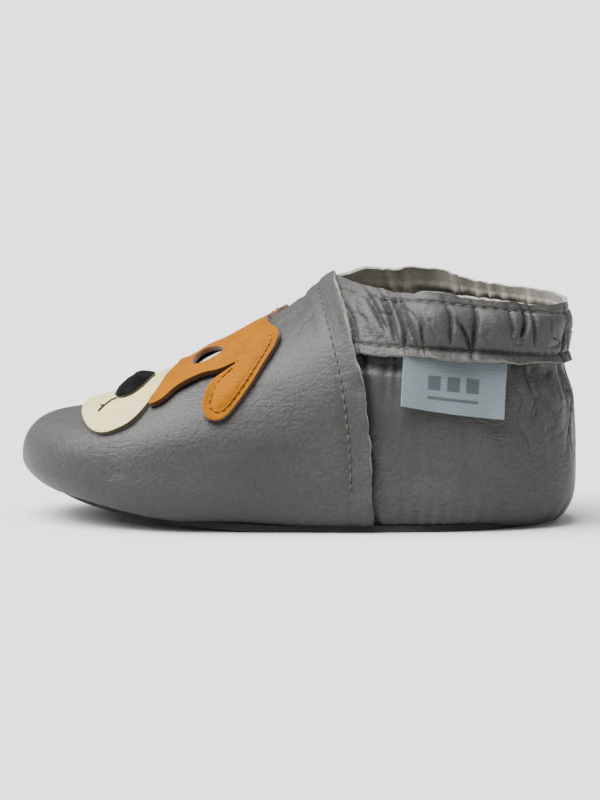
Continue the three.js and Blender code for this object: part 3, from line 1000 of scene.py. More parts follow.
@dataclass(frozen=True)
class SpunThread:
    """Spun polyester thread.

    Two plies are laid round each other; painted shade darkens the grooves between them in slanting bands
    along the thread, and loose fibres break the bands up.
    """

    name: str
    colour: str
    shade: str
    ply_mm: float = 0.35

    def build(self) -> bpy.types.Material:
        """Makes the material.

        Returns:
            The material.
        """
        material, tree, shader = blank(self.name)
        coords = object_coords(tree, (self.ply_mm,) * 3)
        plies = wave(tree, coords, "DIAGONAL", Scale=0.6, Distortion=1.2, Detail=1.0)
        fuzz = noise(tree, coords, 3.0, Scale=2.0)
        # Painted shade: the colour darkens in slanting bands where the plies dip.
        tone = ramp(tree, plies, [(0.1, self.shade), (0.6, self.colour)])
        speck = ramp(tree, fuzz.outputs["Fac"], [(0.3, 0.85), (0.7, 1.05)])
        colour = mix_colour(tree, 1.0, tone, speck, "MULTIPLY")
        normal = relief(tree, plies, 0.7, 0.06)
        wire(tree, shader, {"Base Color": colour, "Normal": normal, "Roughness": 0.65})
        wire(tree, shader, {"Specular IOR Level": 0.2, "Sheen Weight": 0.1})
        return material


@dataclass(frozen=True)
class WovenSatin:
    """Polyester satin ribbon, woven.

    Long floats lie along the ribbon; painted shade in fine lines between them stands in for the light they
    catch. The generic mark is woven in a darker yarn.
    """

    name: str
    colour: str
    shade: str
    mark: str
    thread_mm: float = 0.28

    def build(self) -> bpy.types.Material:
        """Makes the material; the pattern follows the label's own UV map, in millimetres.

        Returns:
            The material.
        """
        material, tree, shader = blank(self.name)
        uv = node(tree, "ShaderNodeTexCoord").outputs["UV"]
        sway = {"Distortion": 0.6, "Detail": 1.0}
        floats = wave(tree, uv, "Y", Scale=WAVE_UNIT / (self.thread_mm * 1.8), **sway)
        picks = wave(tree, uv, "X", Scale=WAVE_UNIT / self.thread_mm, **sway)
        faint = ramp(tree, picks, [(0.0, 0.75), (1.0, 1.0)])
        weave = node(tree, "ShaderNodeMath", {0: floats, 1: faint}, operation="MULTIPLY").outputs[0]
        # Painted shade: the colour darkens in fine lines between the floats.
        tone = ramp(tree, weave, [(0.0, self.shade), (0.55, self.colour)])
        marked = node(tree, "ShaderNodeAttribute", attribute_name="mark").outputs["Fac"]
        colour = mix_colour(tree, marked, tone, linear(self.mark))
        wire(tree, shader, {"Base Color": colour, "Normal": relief(tree, weave, 0.5, 0.05)})
        wire(tree, shader, {"Roughness": 0.42, "Sheen Weight": 0.2})
        return material


@dataclass(frozen=True)
class Foam:
    """Open-cell polyurethane foam, sliced from a block: matt, with the cut cells as pits."""

    name: str
    colour: str
    shade: str
    cell_mm: float = 0.6

    def build(self) -> bpy.types.Material:
        """Makes the material.

        Returns:
            The material.
        """
        material, tree, shader = blank(self.name)
        coords = object_coords(tree, (self.cell_mm,) * 3)
        cells = node(tree, "ShaderNodeTexVoronoi", {"Vector": coords, "Scale": 1.0}).outputs["Distance"]
        tone = ramp(tree, cells, [(0.1, self.colour), (0.6, self.shade)])
        wire(tree, shader, {"Base Color": tone, "Normal": relief(tree, cells, 0.6, 0.15), "Roughness": 0.9})
        return material


@dataclass(frozen=True)
class KnittedElastic:
    """Knitted elastic tape: the covered rubber cores stand up as fine ribs along the band."""

    name: str
    colour: str
    shade: str
    unit_mm: float = 5.0  # about three ribs lie in this length

    def build(self) -> bpy.types.Material:
        """Makes the material.

        Returns:
            The material.
        """
        material, tree, shader = blank(self.name)
        ribs = wave(tree, object_coords(tree, (self.unit_mm,) * 3), "Z", Scale=1.0)
        # Painted shade: the colour darkens between the ribs.
        tone = ramp(tree, ribs, [(0.2, self.shade), (0.7, self.colour)])
        wire(tree, shader, {"Base Color": tone, "Normal": relief(tree, ribs, 0.6, 0.1), "Roughness": 0.8})
        return material


@dataclass(frozen=True)
class PaintedFloor:
    """A matt painted studio floor that throws less light up under the bootie than it shows."""

    name: str
    colour: str
    bounce: str

    def build(self) -> bpy.types.Material:
        """Makes the material.

        Returns:
            The material.
        """
        material, tree, shader = blank(self.name)
        bounced = node(tree, "ShaderNodeLightPath").outputs["Is Diffuse Ray"]
        tone = mix_colour(tree, bounced, linear(self.colour), linear(self.bounce))
        wire(tree, shader, {"Base Color": tone, "Roughness": 0.85})
        return material


@dataclass
class Wardrobe:
    """Every finish of the bootie, built once and handed out by name."""

    made: dict[str, bpy.types.Material] = field(default_factory=dict)

    FINISHES = {
        # Tumbled after dyeing: pebbled all over, semi-matt.
        "grey": TumbledLeather("grey_tumbled_leather", "454442", "3e3d3b", "4c4b49"),
        # Plated smooth before it is cut: a flat, saturated face with hardly any grain.
        "tan": TumbledLeather(
            "tan_smooth_leather", "a46200", "9a5a00", "ae6a00", 0.5, 0.6, 0.05, 0.12, 0.07, 0.0
        ),
        "cream": TumbledLeather("cream_smooth_leather", "eadd9f", "e2d392", "f0e4ad", 0.5, 0.55, 0.05, 0.15),
        "white": TumbledLeather("white_smooth_leather", "c9c4b4", "bbb6a5", "d4d0c2", 0.5, 0.55, 0.05, 0.1),
        # Stretched over padding: dull, with the grain pulled open.
        "ink": TumbledLeather(
            "ink_padded_leather", "060709", "040506", "090b0e", 0.8, 0.68, 0.09, 0.3, 0.1, 0.0
        ),
        # Knife-cut edges: open fibre; the grey and ink edges are paler than their faces where the dye did not
        # reach, the tan and cream edges darker than their faces.
        "grey_cut": SplitSuede("grey_leather_cut_edge", "b8b5ac", "8f8c83", 0.35, 0.2),
        "tan_cut": SplitSuede("tan_leather_cut_edge", "74400a", "553006", 0.3, 0.1),
        "cream_cut": SplitSuede("cream_leather_cut_edge", "7d7652", "57523a", 0.35, 0.15),
        "ink_cut": SplitSuede("ink_leather_cut_edge", "26282c", "1c1e21", 0.3, 0.1),
        # Flesh side and split layers: napped and mottled.
        "grey_flesh": SplitSuede("grey_leather_flesh_side", "a5a195", "827e72"),
        "outsole": SplitSuede("grey_suede_split", "4c4a47", "41403d", 0.55),
        "sock": SplitSuede("pale_suede_split", "928d80", "7c776a"),
        # The needle's hole: a dark disc of painted shade laid over the leather where the thread goes in.
        "hole": SplitSuede("needle_hole_shadow", "161514", "0f0e0e", 0.3, 0.05),
        # Spun sewing threads: matt, with painted shade in bands along their plies.
        "grey_thread": SpunThread("grey_polyester_thread", "6b6963", "4a4844"),
        "gold_thread": SpunThread("gold_polyester_thread", "c47c00", "8f5200"),
        "dark_thread": SpunThread("olive_embroidery_thread", "221f17", "15130e"),
        # Woven on a narrow loom: a soft sheen, with painted shade in fine lines between the floats.
        "satin": WovenSatin("blue_grey_woven_satin", "818e93", "6d7a81", "4a5257"),
        "foam": Foam("pale_sliced_foam", "e6e2d8", "c8c3b6"),
        "elastic": KnittedElastic("white_knitted_elastic", "e9e7e2", "bdbab2"),
        "floor": PaintedFloor("matt_white_floor", "f6f6f6", "747474"),
    }

    def __getitem__(self, name: str) -> bpy.types.Material:
        """The material of a finish.

        Args:
            name: The finish's name.

        Returns:
            The material, built on first use.
        """
        if name not in self.made:
            self.made[name] = self.FINISHES[name].build()
        return self.made[name]


# ---- Meshes -------------------------------------------------------------------------------------


def link(name: str, mesh: bpy.types.Mesh, materials: list[bpy.types.Material]) -> bpy.types.Object:
    """Puts a mesh into the scene as an object at the origin.

    Args:
        name: Its name.
        mesh: The mesh.
        materials: Its materials by slot.

    Returns:
        The object.
    """
    piece = bpy.data.objects.new(name, mesh)
    bpy.context.scene.collection.objects.link(piece)
    for material in materials:
        mesh.materials.append(material)
    return piece


def set_places(bm: bmesh.types.BMesh, places: Array) -> None:
    """Moves a bmesh's vertices to places in metres.

    Args:
        bm: The bmesh.
        places: A place for each vertex.
    """
    for vertex, place in zip(bm.verts, places):
        vertex.co = place


def grid_coords(bm: bmesh.types.BMesh) -> tuple[Array, Array]:
    """The 0..1 coordinates of a unit grid's vertices.

    Args:
        bm: The bmesh.

    Returns:
        Both coordinates.
    """
    flat = np.array([v.co[:2] for v in bm.verts]) + 0.5
    return flat[:, 0], flat[:, 1]


def face_outwards(bm: bmesh.types.BMesh, normals: Array) -> None:
    """Turns all faces over if they look against the given directions.

    Args:
        bm: The bmesh.
        normals: The way outwards at each vertex.
    """
    bm.normal_update()
    bm.verts.ensure_lookup_table()
    asked = list(bm.verts)[:: max(1, len(bm.verts) // VOTES)]
    votes = sum(v.normal.dot(Vector(normals[v.index])) for v in asked)
    if votes < 0:
        bmesh.ops.reverse_faces(bm, faces=bm.faces)


@dataclass
class SheetCut:
    """How a sheet of leather is given thickness."""

    thickness: float = LEATHER
    edge_round: float = 0.28
    bevel_segments: int = 2


def sheet_piece(
    name: str,
    size: tuple[int, int],
    shape: Callable[[Array, Array], tuple[Array, Array]],
    materials: list[bpy.types.Material],
    place: Placement,
    cut: SheetCut,
    pole: tuple[float, float] | None = None,
) -> bpy.types.Object:
    """A grid bent into a sheet of leather with thickness and softened cut edges.

    Args:
        name: The piece's name.
        size: Grid columns and rows.
        shape: Gives outer points and outward directions, in millimetres, for grid coordinates.
        materials: Face, cut edge and back.
        place: The frame's placement.
        cut: Thickness and edge.
        pole: Grid coordinates of a place where the grid's lines crowd together, if it has one.

    Returns:
        The object.
    """
    bm = bmesh.new()
    bmesh.ops.create_grid(bm, x_segments=size[0], y_segments=size[1], size=0.5)
    u, v = grid_coords(bm)
    points, normals = shape(u, v)
    set_places(bm, place(points))
    face_outwards(bm, normals)
    if pole:
        middle = points[np.hypot(u - pole[0], v - pole[1]).argmin()]
        crowd = np.linalg.norm(points - middle, axis=1) < CROWDED
        bm.verts.ensure_lookup_table()
        merged = [bm.verts[i] for i in np.flatnonzero(crowd)]
        bmesh.ops.pointmerge(bm, verts=merged, merge_co=Vector(place(middle)))
    bmesh.ops.remove_doubles(bm, verts=bm.verts, dist=WELD)
    return solid_sheet(name, bm, materials, cut)


def solid_sheet(
    name: str, bm: bmesh.types.BMesh, materials: list[bpy.types.Material], cut: SheetCut
) -> bpy.types.Object:
    """Thickens an open bmesh inwards and rounds its cut edges.

    Args:
        name: Its name.
        bm: The bmesh.
        materials: Its materials by slot.
        cut: How it is thickened and rounded.

    Returns:
        The object.
    """
    for face in bm.faces:
        face.smooth = True
    mesh = bpy.data.meshes.new(name)
    bm.to_mesh(mesh)
    bm.free()
    piece = link(name, mesh, materials)
    solid = piece.modifiers.new("thickness", "SOLIDIFY")
    solid.thickness = cut.thickness * MM
    solid.offset = -1
    solid.use_even_offset = False
    solid.material_offset_rim = Rim.CUT.value
    solid.material_offset = Rim.BACK.value
    if cut.edge_round:
        bevel = piece.modifiers.new("softened edge", "BEVEL")
        bevel.width = cut.edge_round * MM
        bevel.segments = cut.bevel_segments
        bevel.limit_method = "ANGLE"
        bevel.angle_limit = math.radians(BEVEL_ABOVE)
        bevel.harden_normals = False
    return piece


def outline_points(points: Outline, per_span: int = 14) -> Array:
    """A closed smooth outline through its points.

    Args:
        points: The outline's own points.
        per_span: Points made between two of them.

    Returns:
        The outline.
    """
    p = np.array(points, float)
    rows = []
    for i in range(len(p)):
        a, b, c, d = (p[(i + k) % len(p)] for k in (-1, 0, 1, 2))
        t = np.linspace(0, 1, per_span, endpoint=False)[:, None]
        rows.append(
            0.5 * (2 * b + (c - a) * t + (2 * a - 5 * b + 4 * c - d) * t**2 + (3 * b - a - 3 * c + d) * t**3)
        )
    return np.vstack(rows)


def inside(points: Array, ring: Array) -> Array:
    """Whether points lie inside a closed ring, by counting crossings.

    Args:
        points: Flat places.
        ring: The ring's points.

    Returns:
        True for those inside.
    """
    x, y = points[:, 0][:, None], points[:, 1][:, None]
    a, b = ring, np.roll(ring, -1, axis=0)
    spans = (a[:, 1] > y) != (b[:, 1] > y)
    height = b[:, 1] - a[:, 1]
    height = np.where(np.abs(height) < TINY, TINY, height)
    crossing = (b[:, 0] - a[:, 0]) * (y - a[:, 1]) / height + a[:, 0]
    return (spans & (x < crossing)).sum(axis=1) % 2 == 1


def nearest_on(points: Array, ring: Array) -> tuple[Array, Array]:
    """The nearest points on a closed ring, and how far away they are.

    Args:
        points: Flat places.
        ring: The ring's points.

    Returns:
        The nearest points and the distances.
    """
    a, b = ring, np.roll(ring, -1, axis=0)
    way = b - a
    share = ((points[:, None] - a) * way).sum(-1) / np.maximum((way * way).sum(-1), 1e-12)
    on = a + np.clip(share, 0, 1)[..., None] * way
    gaps = np.linalg.norm(points[:, None] - on, axis=-1)
    best = gaps.argmin(axis=1)
    rows = np.arange(len(points))
    return on[rows, best], gaps[rows, best]


@dataclass
class PatchPattern:
    """A flat leather patch: outer outline, holes, and how its height runs near its edge."""

    outline: Array
    holes: list[Array] = field(default_factory=list)
    cell: float = 0.6

    def mesh(self) -> tuple[bmesh.types.BMesh, Array, Array]:
        """A grid trimmed to the outline with its border drawn onto it.

        Returns:
            The bmesh, its flat coordinates and each vertex's distance to the nearest edge.
        """
        low, high = self.outline.min(0) - self.cell, self.outline.max(0) + self.cell
        counts = np.ceil((high - low) / self.cell).astype(int)
        bm = bmesh.new()
        bmesh.ops.create_grid(bm, x_segments=int(counts[0]), y_segments=int(counts[1]), size=0.5)
        for vertex in bm.verts:
            vertex.co.x = low[0] + (vertex.co.x + 0.5) * counts[0] * self.cell
            vertex.co.y = low[1] + (vertex.co.y + 0.5) * counts[1] * self.cell
        faces = list(bm.faces)
        centres = np.array([f.calc_center_median()[:2] for f in faces])
        keep = inside(centres, self.outline)
        for hole in self.holes:
            keep &= ~inside(centres, hole)
        bmesh.ops.delete(bm, geom=[f for f, k in zip(faces, keep) if not k], context="FACES")
        border = [v for v in bm.verts if v.is_boundary]
        flat = np.array([v.co[:2] for v in border])
        rings = [self.outline, *self.holes]
        found = [nearest_on(flat, ring) for ring in rings]
        choice = np.array([gap for _, gap in found]).argmin(axis=0)
        for i, vertex in enumerate(border):
            vertex.co.xy = found[choice[i]][0][i]
        inner = [v for v in bm.verts if not v.is_boundary]
        for _ in range(2):
            bmesh.ops.smooth_vert(
                bm, verts=inner, factor=0.5, use_axis_x=True, use_axis_y=True, use_axis_z=False
            )
        bm.verts.ensure_lookup_table()
        flat = np.array([v.co[:2] for v in bm.verts])
        gap = np.min([nearest_on(flat, ring)[1] for ring in rings], axis=0)
        gap[[v.index for v in bm.verts if v.is_boundary]] = 0
        return bm, flat, gap


def stitched(
    name: str,
    path: Array,
    normals: Array,
    pitch: float,
    length: float,
    width: float,
    materials: list[bpy.types.Material],
    place: Placement,
    sink: float,
) -> bpy.types.Object:
    """A run of separate stitches with a needle hole between each two.

    Args:
        name: The piece's name.
        path: Points on the leather, in millimetres.
        normals: Outward directions there.
        pitch: From stitch to stitch.
        length: Length of thread that shows.
        width: Thread diameter.
        materials: Thread and needle hole.
        place: The frame's placement.
        sink: How deep a stitch's middle line lies under the leather's face.

    Returns:
        The object, with materials 0 for thread and 1 for holes.
    """
    steps = np.linalg.norm(np.diff(path, axis=0), axis=1)
    run = np.concatenate([[0], np.cumsum(steps)])
    count = max(1, int(run[-1] / pitch))
    bm = bmesh.new()
    hole_faces: list[bmesh.types.BMFace] = []
    for i in range(count):
        centre = (i + 0.5) * run[-1] / count
        ends = []
        for at in (centre - length / 2, centre, centre + length / 2, centre + pitch / 2):
            point = np.array([np.interp(at, run, path[:, k]) for k in range(3)])
            normal = unit(np.array([np.interp(at, run, normals[:, k]) for k in range(3)]))
            ends.append((point, normal))
        way = unit(ends[2][0] - ends[0][0])
        normal = ends[1][1]
        cross = unit(np.cross(normal, way))
        middle = place(ends[1][0] + normal * (width / 2 - sink))
        turn = Matrix([[*col] for col in np.stack([way, cross, normal], 1)]).to_4x4()
        wobble = 1 + 0.12 * math.sin(i * 2.4)
        size = Matrix.Diagonal((length / 2 * MM * wobble, width / 2 * MM, width * 0.55 * MM, 1))
        where = Matrix.Translation(Vector(middle)) @ turn @ size
        bmesh.ops.create_uvsphere(bm, u_segments=8, v_segments=6, radius=1.0, matrix=where)
        # Each needle hole is a thin disc on the leather; in the dark hole finish it is painted shade.
        hole_at = place(ends[3][0] + ends[3][1] * 0.02)
        hole_turn = Matrix([[*col] for col in np.stack([way, cross, ends[3][1]], 1)]).to_4x4()
        hole_size = Matrix.Diagonal((width * 0.62 * MM, width * 0.5 * MM, 0.06 * MM, 1))
        made = bmesh.ops.create_icosphere(
            bm, subdivisions=1, radius=1.0, matrix=Matrix.Translation(Vector(hole_at)) @ hole_turn @ hole_size
        )
        hole_faces += list({f for v in made["verts"] for f in v.link_faces})
    for face in bm.faces:
        face.smooth = True
    for face in hole_faces:
        face.material_index = 1
    bmesh.ops.recalc_face_normals(bm, faces=bm.faces)
    mesh = bpy.data.meshes.new(name)
    bm.to_mesh(mesh)
    bm.free()
    return link(name, mesh, materials)


def thread_run(
    name: str,
    runs: list[tuple[Array, Array]],
    width: float,
    materials: list[bpy.types.Material],
    place: Placement,
) -> bpy.types.Object:
    """Laid threads: a round cord along each path, its ends diving into the leather.

    Args:
        name: The piece's name.
        runs: A path and the outward directions along it, for each thread.
        width: Thread diameter.
        materials: The thread's material.
        place: The frame's placement.

    Returns:
        The object.
    """
    curve = bpy.data.curves.new(name, "CURVE")
    curve.dimensions = "3D"
    curve.bevel_depth = width / 2 * MM
    curve.bevel_resolution = 3
    curve.use_fill_caps = True
    for path, normals in runs:
        spline = curve.splines.new("POLY")
        spline.points.add(len(path) - 1)
        shares = np.linspace(0, 1, len(path))
        dive = np.minimum(shares, 1 - shares) < 0.03
        heights = np.where(dive, -width * 0.4, width * 0.25)
        for point, at in zip(spline.points, place(path + normals * heights[:, None])):
            point.co = (*at, 1)
    holder = bpy.data.objects.new(name, curve)
    mesh = bpy.data.meshes.new_from_object(holder)
    bpy.data.objects.remove(holder)
    for polygon in mesh.polygons:
        polygon.use_smooth = True
    return link(name, mesh, materials)


# ---- Gathers ------------------------------------------------------------------------------------


class Gathers:
    """The folds that the elastic draws into cuff and quarter, fixed once round the ankle."""

    def __init__(self, bunches: float = 12.5, spacing: float = 2.4, seed: int = 23) -> None:
        """Scatters the folds in bunches.

        Args:
            bunches: Mean distance between bunches of folds, in millimetres.
            spacing: Mean distance between the folds of a bunch.
            seed: Fixes the scatter.
        """
        rng = np.random.default_rng(seed)
        reach = 80.0
        places = []
        at = -reach
        while at < reach:
            fold = at
            for _ in range(rng.integers(2, 6)):
                places.append(fold)
                fold += spacing * rng.uniform(0.75, 1.5)
            at = fold + (bunches - 2.5 * spacing) * rng.uniform(0.3, 1.2)
        self.places = np.array(places)
        count = len(places)
        self.depth = rng.uniform(0.5, 1.1, count)
        self.width = rng.uniform(0.4, 0.68, count)
        self.slant = rng.uniform(-2.4, 2.4, count)
        self.from_top = rng.uniform(0, 1, count) < 0.62
        self.span = rng.uniform(0.6, 1.5, count)

    def folds(self, s: Array, t: Array) -> Array:
        """Depth of the folds on the cuff.

        Args:
            s: Distance round the ankle from the heel, in millimetres.
            t: 0 at the lower stitch line, 1 at the upper.

        Returns:
            0 on the puffed leather, up to about 1 in a fold.
        """
        out = np.zeros_like(s)
        inner = np.clip(t, 0, 1)
        for at, deep, wide, slant, top, span in zip(
            self.places, self.depth, self.width, self.slant, self.from_top, self.span
        ):
            reach = (1 - inner) if top else inner
            fade = 1 - ease(span * 0.55, span, reach)
            centre = at + slant * (inner - 0.5) + 0.35 * np.sin(inner * 5 + at)
            out = np.maximum(out, deep * fade * np.exp(-(np.abs(s - centre) / wide) ** 1.4))
        return out

    def below(self, s: Array, drop: Array) -> Array:
        """Folds that run on down the quarter; drop is the distance below the stitch line.

        Args:
            s: Distances round the ankle.
            drop: Distances below the stitch line.

        Returns:
            0 beside the folds, up to about 1 in one.
        """
        out = np.zeros_like(s)
        for at, deep, wide, slant, span in zip(self.places, self.depth, self.width, self.slant, self.span):
            fade = np.exp(-np.maximum(drop, 0) / (4 + 7 * span))
            centre = at + slant * (0.5 + drop / 14)
            out = np.maximum(out, deep * fade * np.exp(-(((s - centre) / (wide * (1.1 + drop / 9))) ** 2)))
        return out


GATHERS = Gathers()


def by_row(rows: Array, side: Array, find: Callable[[Array, Array], Array], steps: int = 81) -> Array:
    """Works a value out once per row and side, and hands it to every point of the row.

    Args:
        rows: The row of each point.
        side: The side each is on.
        find: Works the value out.
        steps: Rows it is worked out at.

    Returns:
        The value at each point.
    """
    samples = np.linspace(rows.min(), rows.max(), steps)
    left, right = (find(samples, np.full(steps, hand)) for hand in (-1.0, 1.0))
    return np.where(side < 0, np.interp(rows, samples, left), np.interp(rows, samples, right))


# ---- The bootie's sub-assemblies ------------------------------------------------------------------


@dataclass
class Shop:
    """What every sub-assembly is built with."""

    place: Placement
    wardrobe: Wardrobe
    leather_map: LeatherMap
    frame: dict
    body: str = "bootie"

    def keep(
        self, piece: bpy.types.Object, slot: str, *nodes: str, bend: tuple[Array, Array] | None = None
    ) -> bpy.types.Object:
        """Rides a piece on the bootie and hides the frame's nodes that it stands for; given a bend, it only
        bakes the piece's transform where it stands.

        Args:
            piece: The piece.
            slot: The record's material slot; not used.
            nodes: The frame's nodes that the piece stands for.
            bend: Two points either side of the label's joint; when given, the piece is baked in place instead
                of riding on the bootie, and it is not bent.

        Returns:
            The piece.
        """
        if bend:
            self.place(bend[0])
            self.place(bend[1])
            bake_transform(piece)
        else:
            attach(piece, self.body)
        if nodes:
            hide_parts(*nodes)
        LOG.info("built %s", piece.name)
        return piece

    def leather(self, face: str, cut: str, back: str = "grey_flesh") -> list[bpy.types.Material]:
        """Materials of a leather sheet: face, cut edge, back.

        Args:
            face: Finish of the face.
            cut: Finish of the cut edge.
            back: Finish of the back.

        Returns:
            The three materials.
        """
        return [self.wardrobe[face], self.wardrobe[cut], self.wardrobe[back]]


def round_ankle(turn: Array, side: Array) -> Array:
    """Distance round the ankle from the back of the heel, negative on the lateral side.

    Args:
        turn: Turns round the last.
        side: The side each is on.

    Returns:
        The distances.
    """
    shares = np.linspace(0.5, 1, 120) * math.pi
    out = np.zeros(turn.shape)
    for hand in (-1, 1):
        points, _, _ = LAST.on_wall(shares, np.full(shares.shape, hand), lambda x: LAST.seam_height(x) + 5)
        back = np.concatenate([[0], np.cumsum(np.linalg.norm(np.diff(points[::-1], axis=0), axis=1))])[::-1]
        run = np.interp(turn, shares, back) * hand
        out = np.where(side == hand, run, out)
    return out


def toe_dip(points: Array) -> Array:
    """How far the soft toe sinks under the face's patches.

    Args:
        points: Points, in millimetres of the last.

    Returns:
        The depths.
    """
    return 1.1 * np.exp(-(((points[..., 0] + 40) / 10) ** 2)) * np.exp(-((points[..., 1] / 24) ** 2))


def heel_lean(points: Array) -> Array:
    """How far the worn cuff leans forward at the heel.

    Args:
        points: Points, in millimetres of the last.

    Returns:
        The distances.
    """
    x, z = points[:, 0], points[:, 2]
    return 1.9 * ease(29, 38, z) * (1 - 0.7 * ease(44, 51, z)) * ease(38, 64, x)


def roll_over(x: Array) -> Array:
    """How far the upper rolls down over the sole's edge: at toe and heel, not along the arch.

    Args:
        x: Stations along the last.

    Returns:
        The depths.
    """
    return 1.1 * (1 - flush_sole(x))


def flush_sole(x: Array) -> Array:
    """1 where the sole's edge lies flush with the upper, 0 where it hides under it.

    Args:
        x: Stations along the last.

    Returns:
        The shares.
    """
    return ease(-34, -8, x) * (1 - ease(44, 55, x))


@dataclass
class Vamp:
    """The one-piece vamp, its rear edge raw and stitched down over the quarter."""

    columns: int = 336
    rows: int = 130
    seam: float = 5.0  # from the rear edge to the stitch line
    pitch: float = 2.35  # from stitch to stitch
    turned: float = 0.22  # share of the rows below the widest line

    def shape(self, u: Array, v: Array) -> tuple[Array, Array]:
        """Outer face of the vamp over grid coordinates.

        Args:
            u: First grid coordinates, from 0 to 1.
            v: Second grid coordinates, from 0 to 1.

        Returns:
            The points and the outward directions.
        """
        side = np.where(u < 0.5, -1.0, 1.0)
        share = np.where(u < 0.5, 1 - 2 * u, 2 * u - 1)
        climb = np.where(v < self.turned, v / self.turned - 1, (v - self.turned) / (1 - self.turned))
        climb = np.where(climb > 0, climb**0.92, climb)
        edge = by_row(climb, side, LAST.edge_turn)
        turn = edge * share**0.94
        points, normals = LAST.point(turn, climb, side), LAST.normal(turn, climb, side)
        z = points[:, 2]
        to_edge = LAST.vamp_edge(z) - points[:, 0]
        lift = np.full(z.shape, LEATHER)
        lift += self.creases(points) - toe_dip(points)
        lift += self.seam_pucker(points, to_edge)
        lift += self.sole_pucker(points, climb)
        wave = rough(points, (7, 7, 7), 2, 4.0)
        lift += (0.35 + 0.45 * wave) * (1 - ease(0, 3.2, to_edge)) * ease(4, 12, z)
        points = points + normals * lift[:, None]
        points[:, 0] += 0.35 * rough(points, (3.5, 3.5, 3.5), 3, 9.0) * (1 - ease(0, 1.2, to_edge))
        points[:, 2] -= roll_over(points[:, 0]) * ease(-0.3, -0.9, climb)
        return points, normals

    def creases(self, points: Array) -> Array:
        """Soft compression creases of the tumbled leather.

        Args:
            points: Points, in millimetres of the last.

        Returns:
            The heights, negative in a crease.
        """
        x, z = points[:, 0], points[:, 2]
        tilted = points @ np.array([[0.82, 0, 0.57], [0, 1, 0], [-0.57, 0, 0.82]]).T
        swell = rough(points, (24, 24, 15), 2, 2.0)
        long_lines = wrinkles(tilted, (13, 11, 4.6), 0.34, 4.0)
        short_lines = wrinkles(tilted, (5.5, 5, 2.9), 0.42, 9.0)
        patchy = ease(-0.25, 0.45, rough(points, (17, 14, 12), 2, 6.0))
        instep = ease(-30, -12, x) * (1 - ease(6, 12, x)) * ease(10, 20, z)
        flank = ease(-50, -38, x) * (1 - ease(-16, -4, x)) * (1 - ease(22, 30, z)) * ease(6, 12, z)
        weight = 0.12 + 0.88 * np.clip(instep + flank, 0, 1)
        return 0.35 * swell + weight * patchy * (0.42 * long_lines + 0.3 * short_lines)

    def seam_pucker(self, points: Array, to_edge: Array) -> Array:
        """The groove that the stitch line pulls, deeper at each stitch.

        Args:
            points: Points, in millimetres of the last.
            to_edge: Distances from the rear edge.

        Returns:
            The heights, negative in the groove.
        """
        off = (to_edge - self.seam) / 1.1
        ripple = 0.5 + 0.5 * np.cos(points[:, 2] * 2 * math.pi / self.pitch)
        welt = 0.16 * np.exp(-(((to_edge - self.seam) / 3) ** 2))
        return -(0.28 + 0.14 * ripple) * np.exp(-(off**2)) + welt

    def sole_pucker(self, points: Array, climb: Array) -> Array:
        """Small pleats where the leather is turned in to the sole.

        Args:
            points: Points, in millimetres of the last.
            climb: Climbs: -1 at the sole, 0 at the widest line, 1 at the crest.

        Returns:
            The heights.
        """
        angle = np.arctan2(points[:, 1], points[:, 0] - 5)
        ripple = np.sin(angle * 74 + 2.2 * np.sin(angle * 9))
        drawn = 0.02 + 0.11 * ease(-42, -12, points[:, 0])
        return drawn * ripple * ease(-0.05, -0.55, climb) * (1 - ease(-0.8, -1, climb))

    def build(self, shop: Shop) -> None:
        """Makes the vamp and its stitch line.

        Args:
            shop: The workshop it is made in.
        """
        piece = sheet_piece(
            "vamp_leather",
            (self.columns, self.rows),
            self.shape,
            shop.leather("grey", "grey_cut"),
            shop.place,
            SheetCut(),
            pole=(0.5, 1.0),
        )
        shop.keep(piece, "grey_leather", "vamp")
        path, normals = self.seam_path(shop.leather_map)
        seam = stitched(
            "vamp_seam_stitches",
            path,
            normals,
            self.pitch,
            1.7,
            0.5,
            [shop.wardrobe["grey_thread"], shop.wardrobe["hole"]],
            shop.place,
            0.14,
        )
        shop.keep(seam, "grey_thread", "vamp_seam_thread")

    def seam_path(self, leather_map: LeatherMap) -> tuple[Array, Array]:
        """The stitch line over the crest, on the groove's floor.

        Args:
            leather_map: Where flat places lie on the last.

        Returns:
            The points and the outward directions.
        """
        down = np.linspace(-64, 64, 400)
        along = np.full(down.shape, LAST.tongue[0])
        for _ in range(10):
            points, normals = leather_map.at(along, down)
            along = LAST.vamp_edge(points[:, 2]) - self.seam
        points, normals = leather_map.at(along, down)
        to_edge = np.full(down.shape, self.seam)
        lift = LEATHER + self.creases(points) + self.seam_pucker(points, to_edge)
        return points + normals * lift[:, None], normals


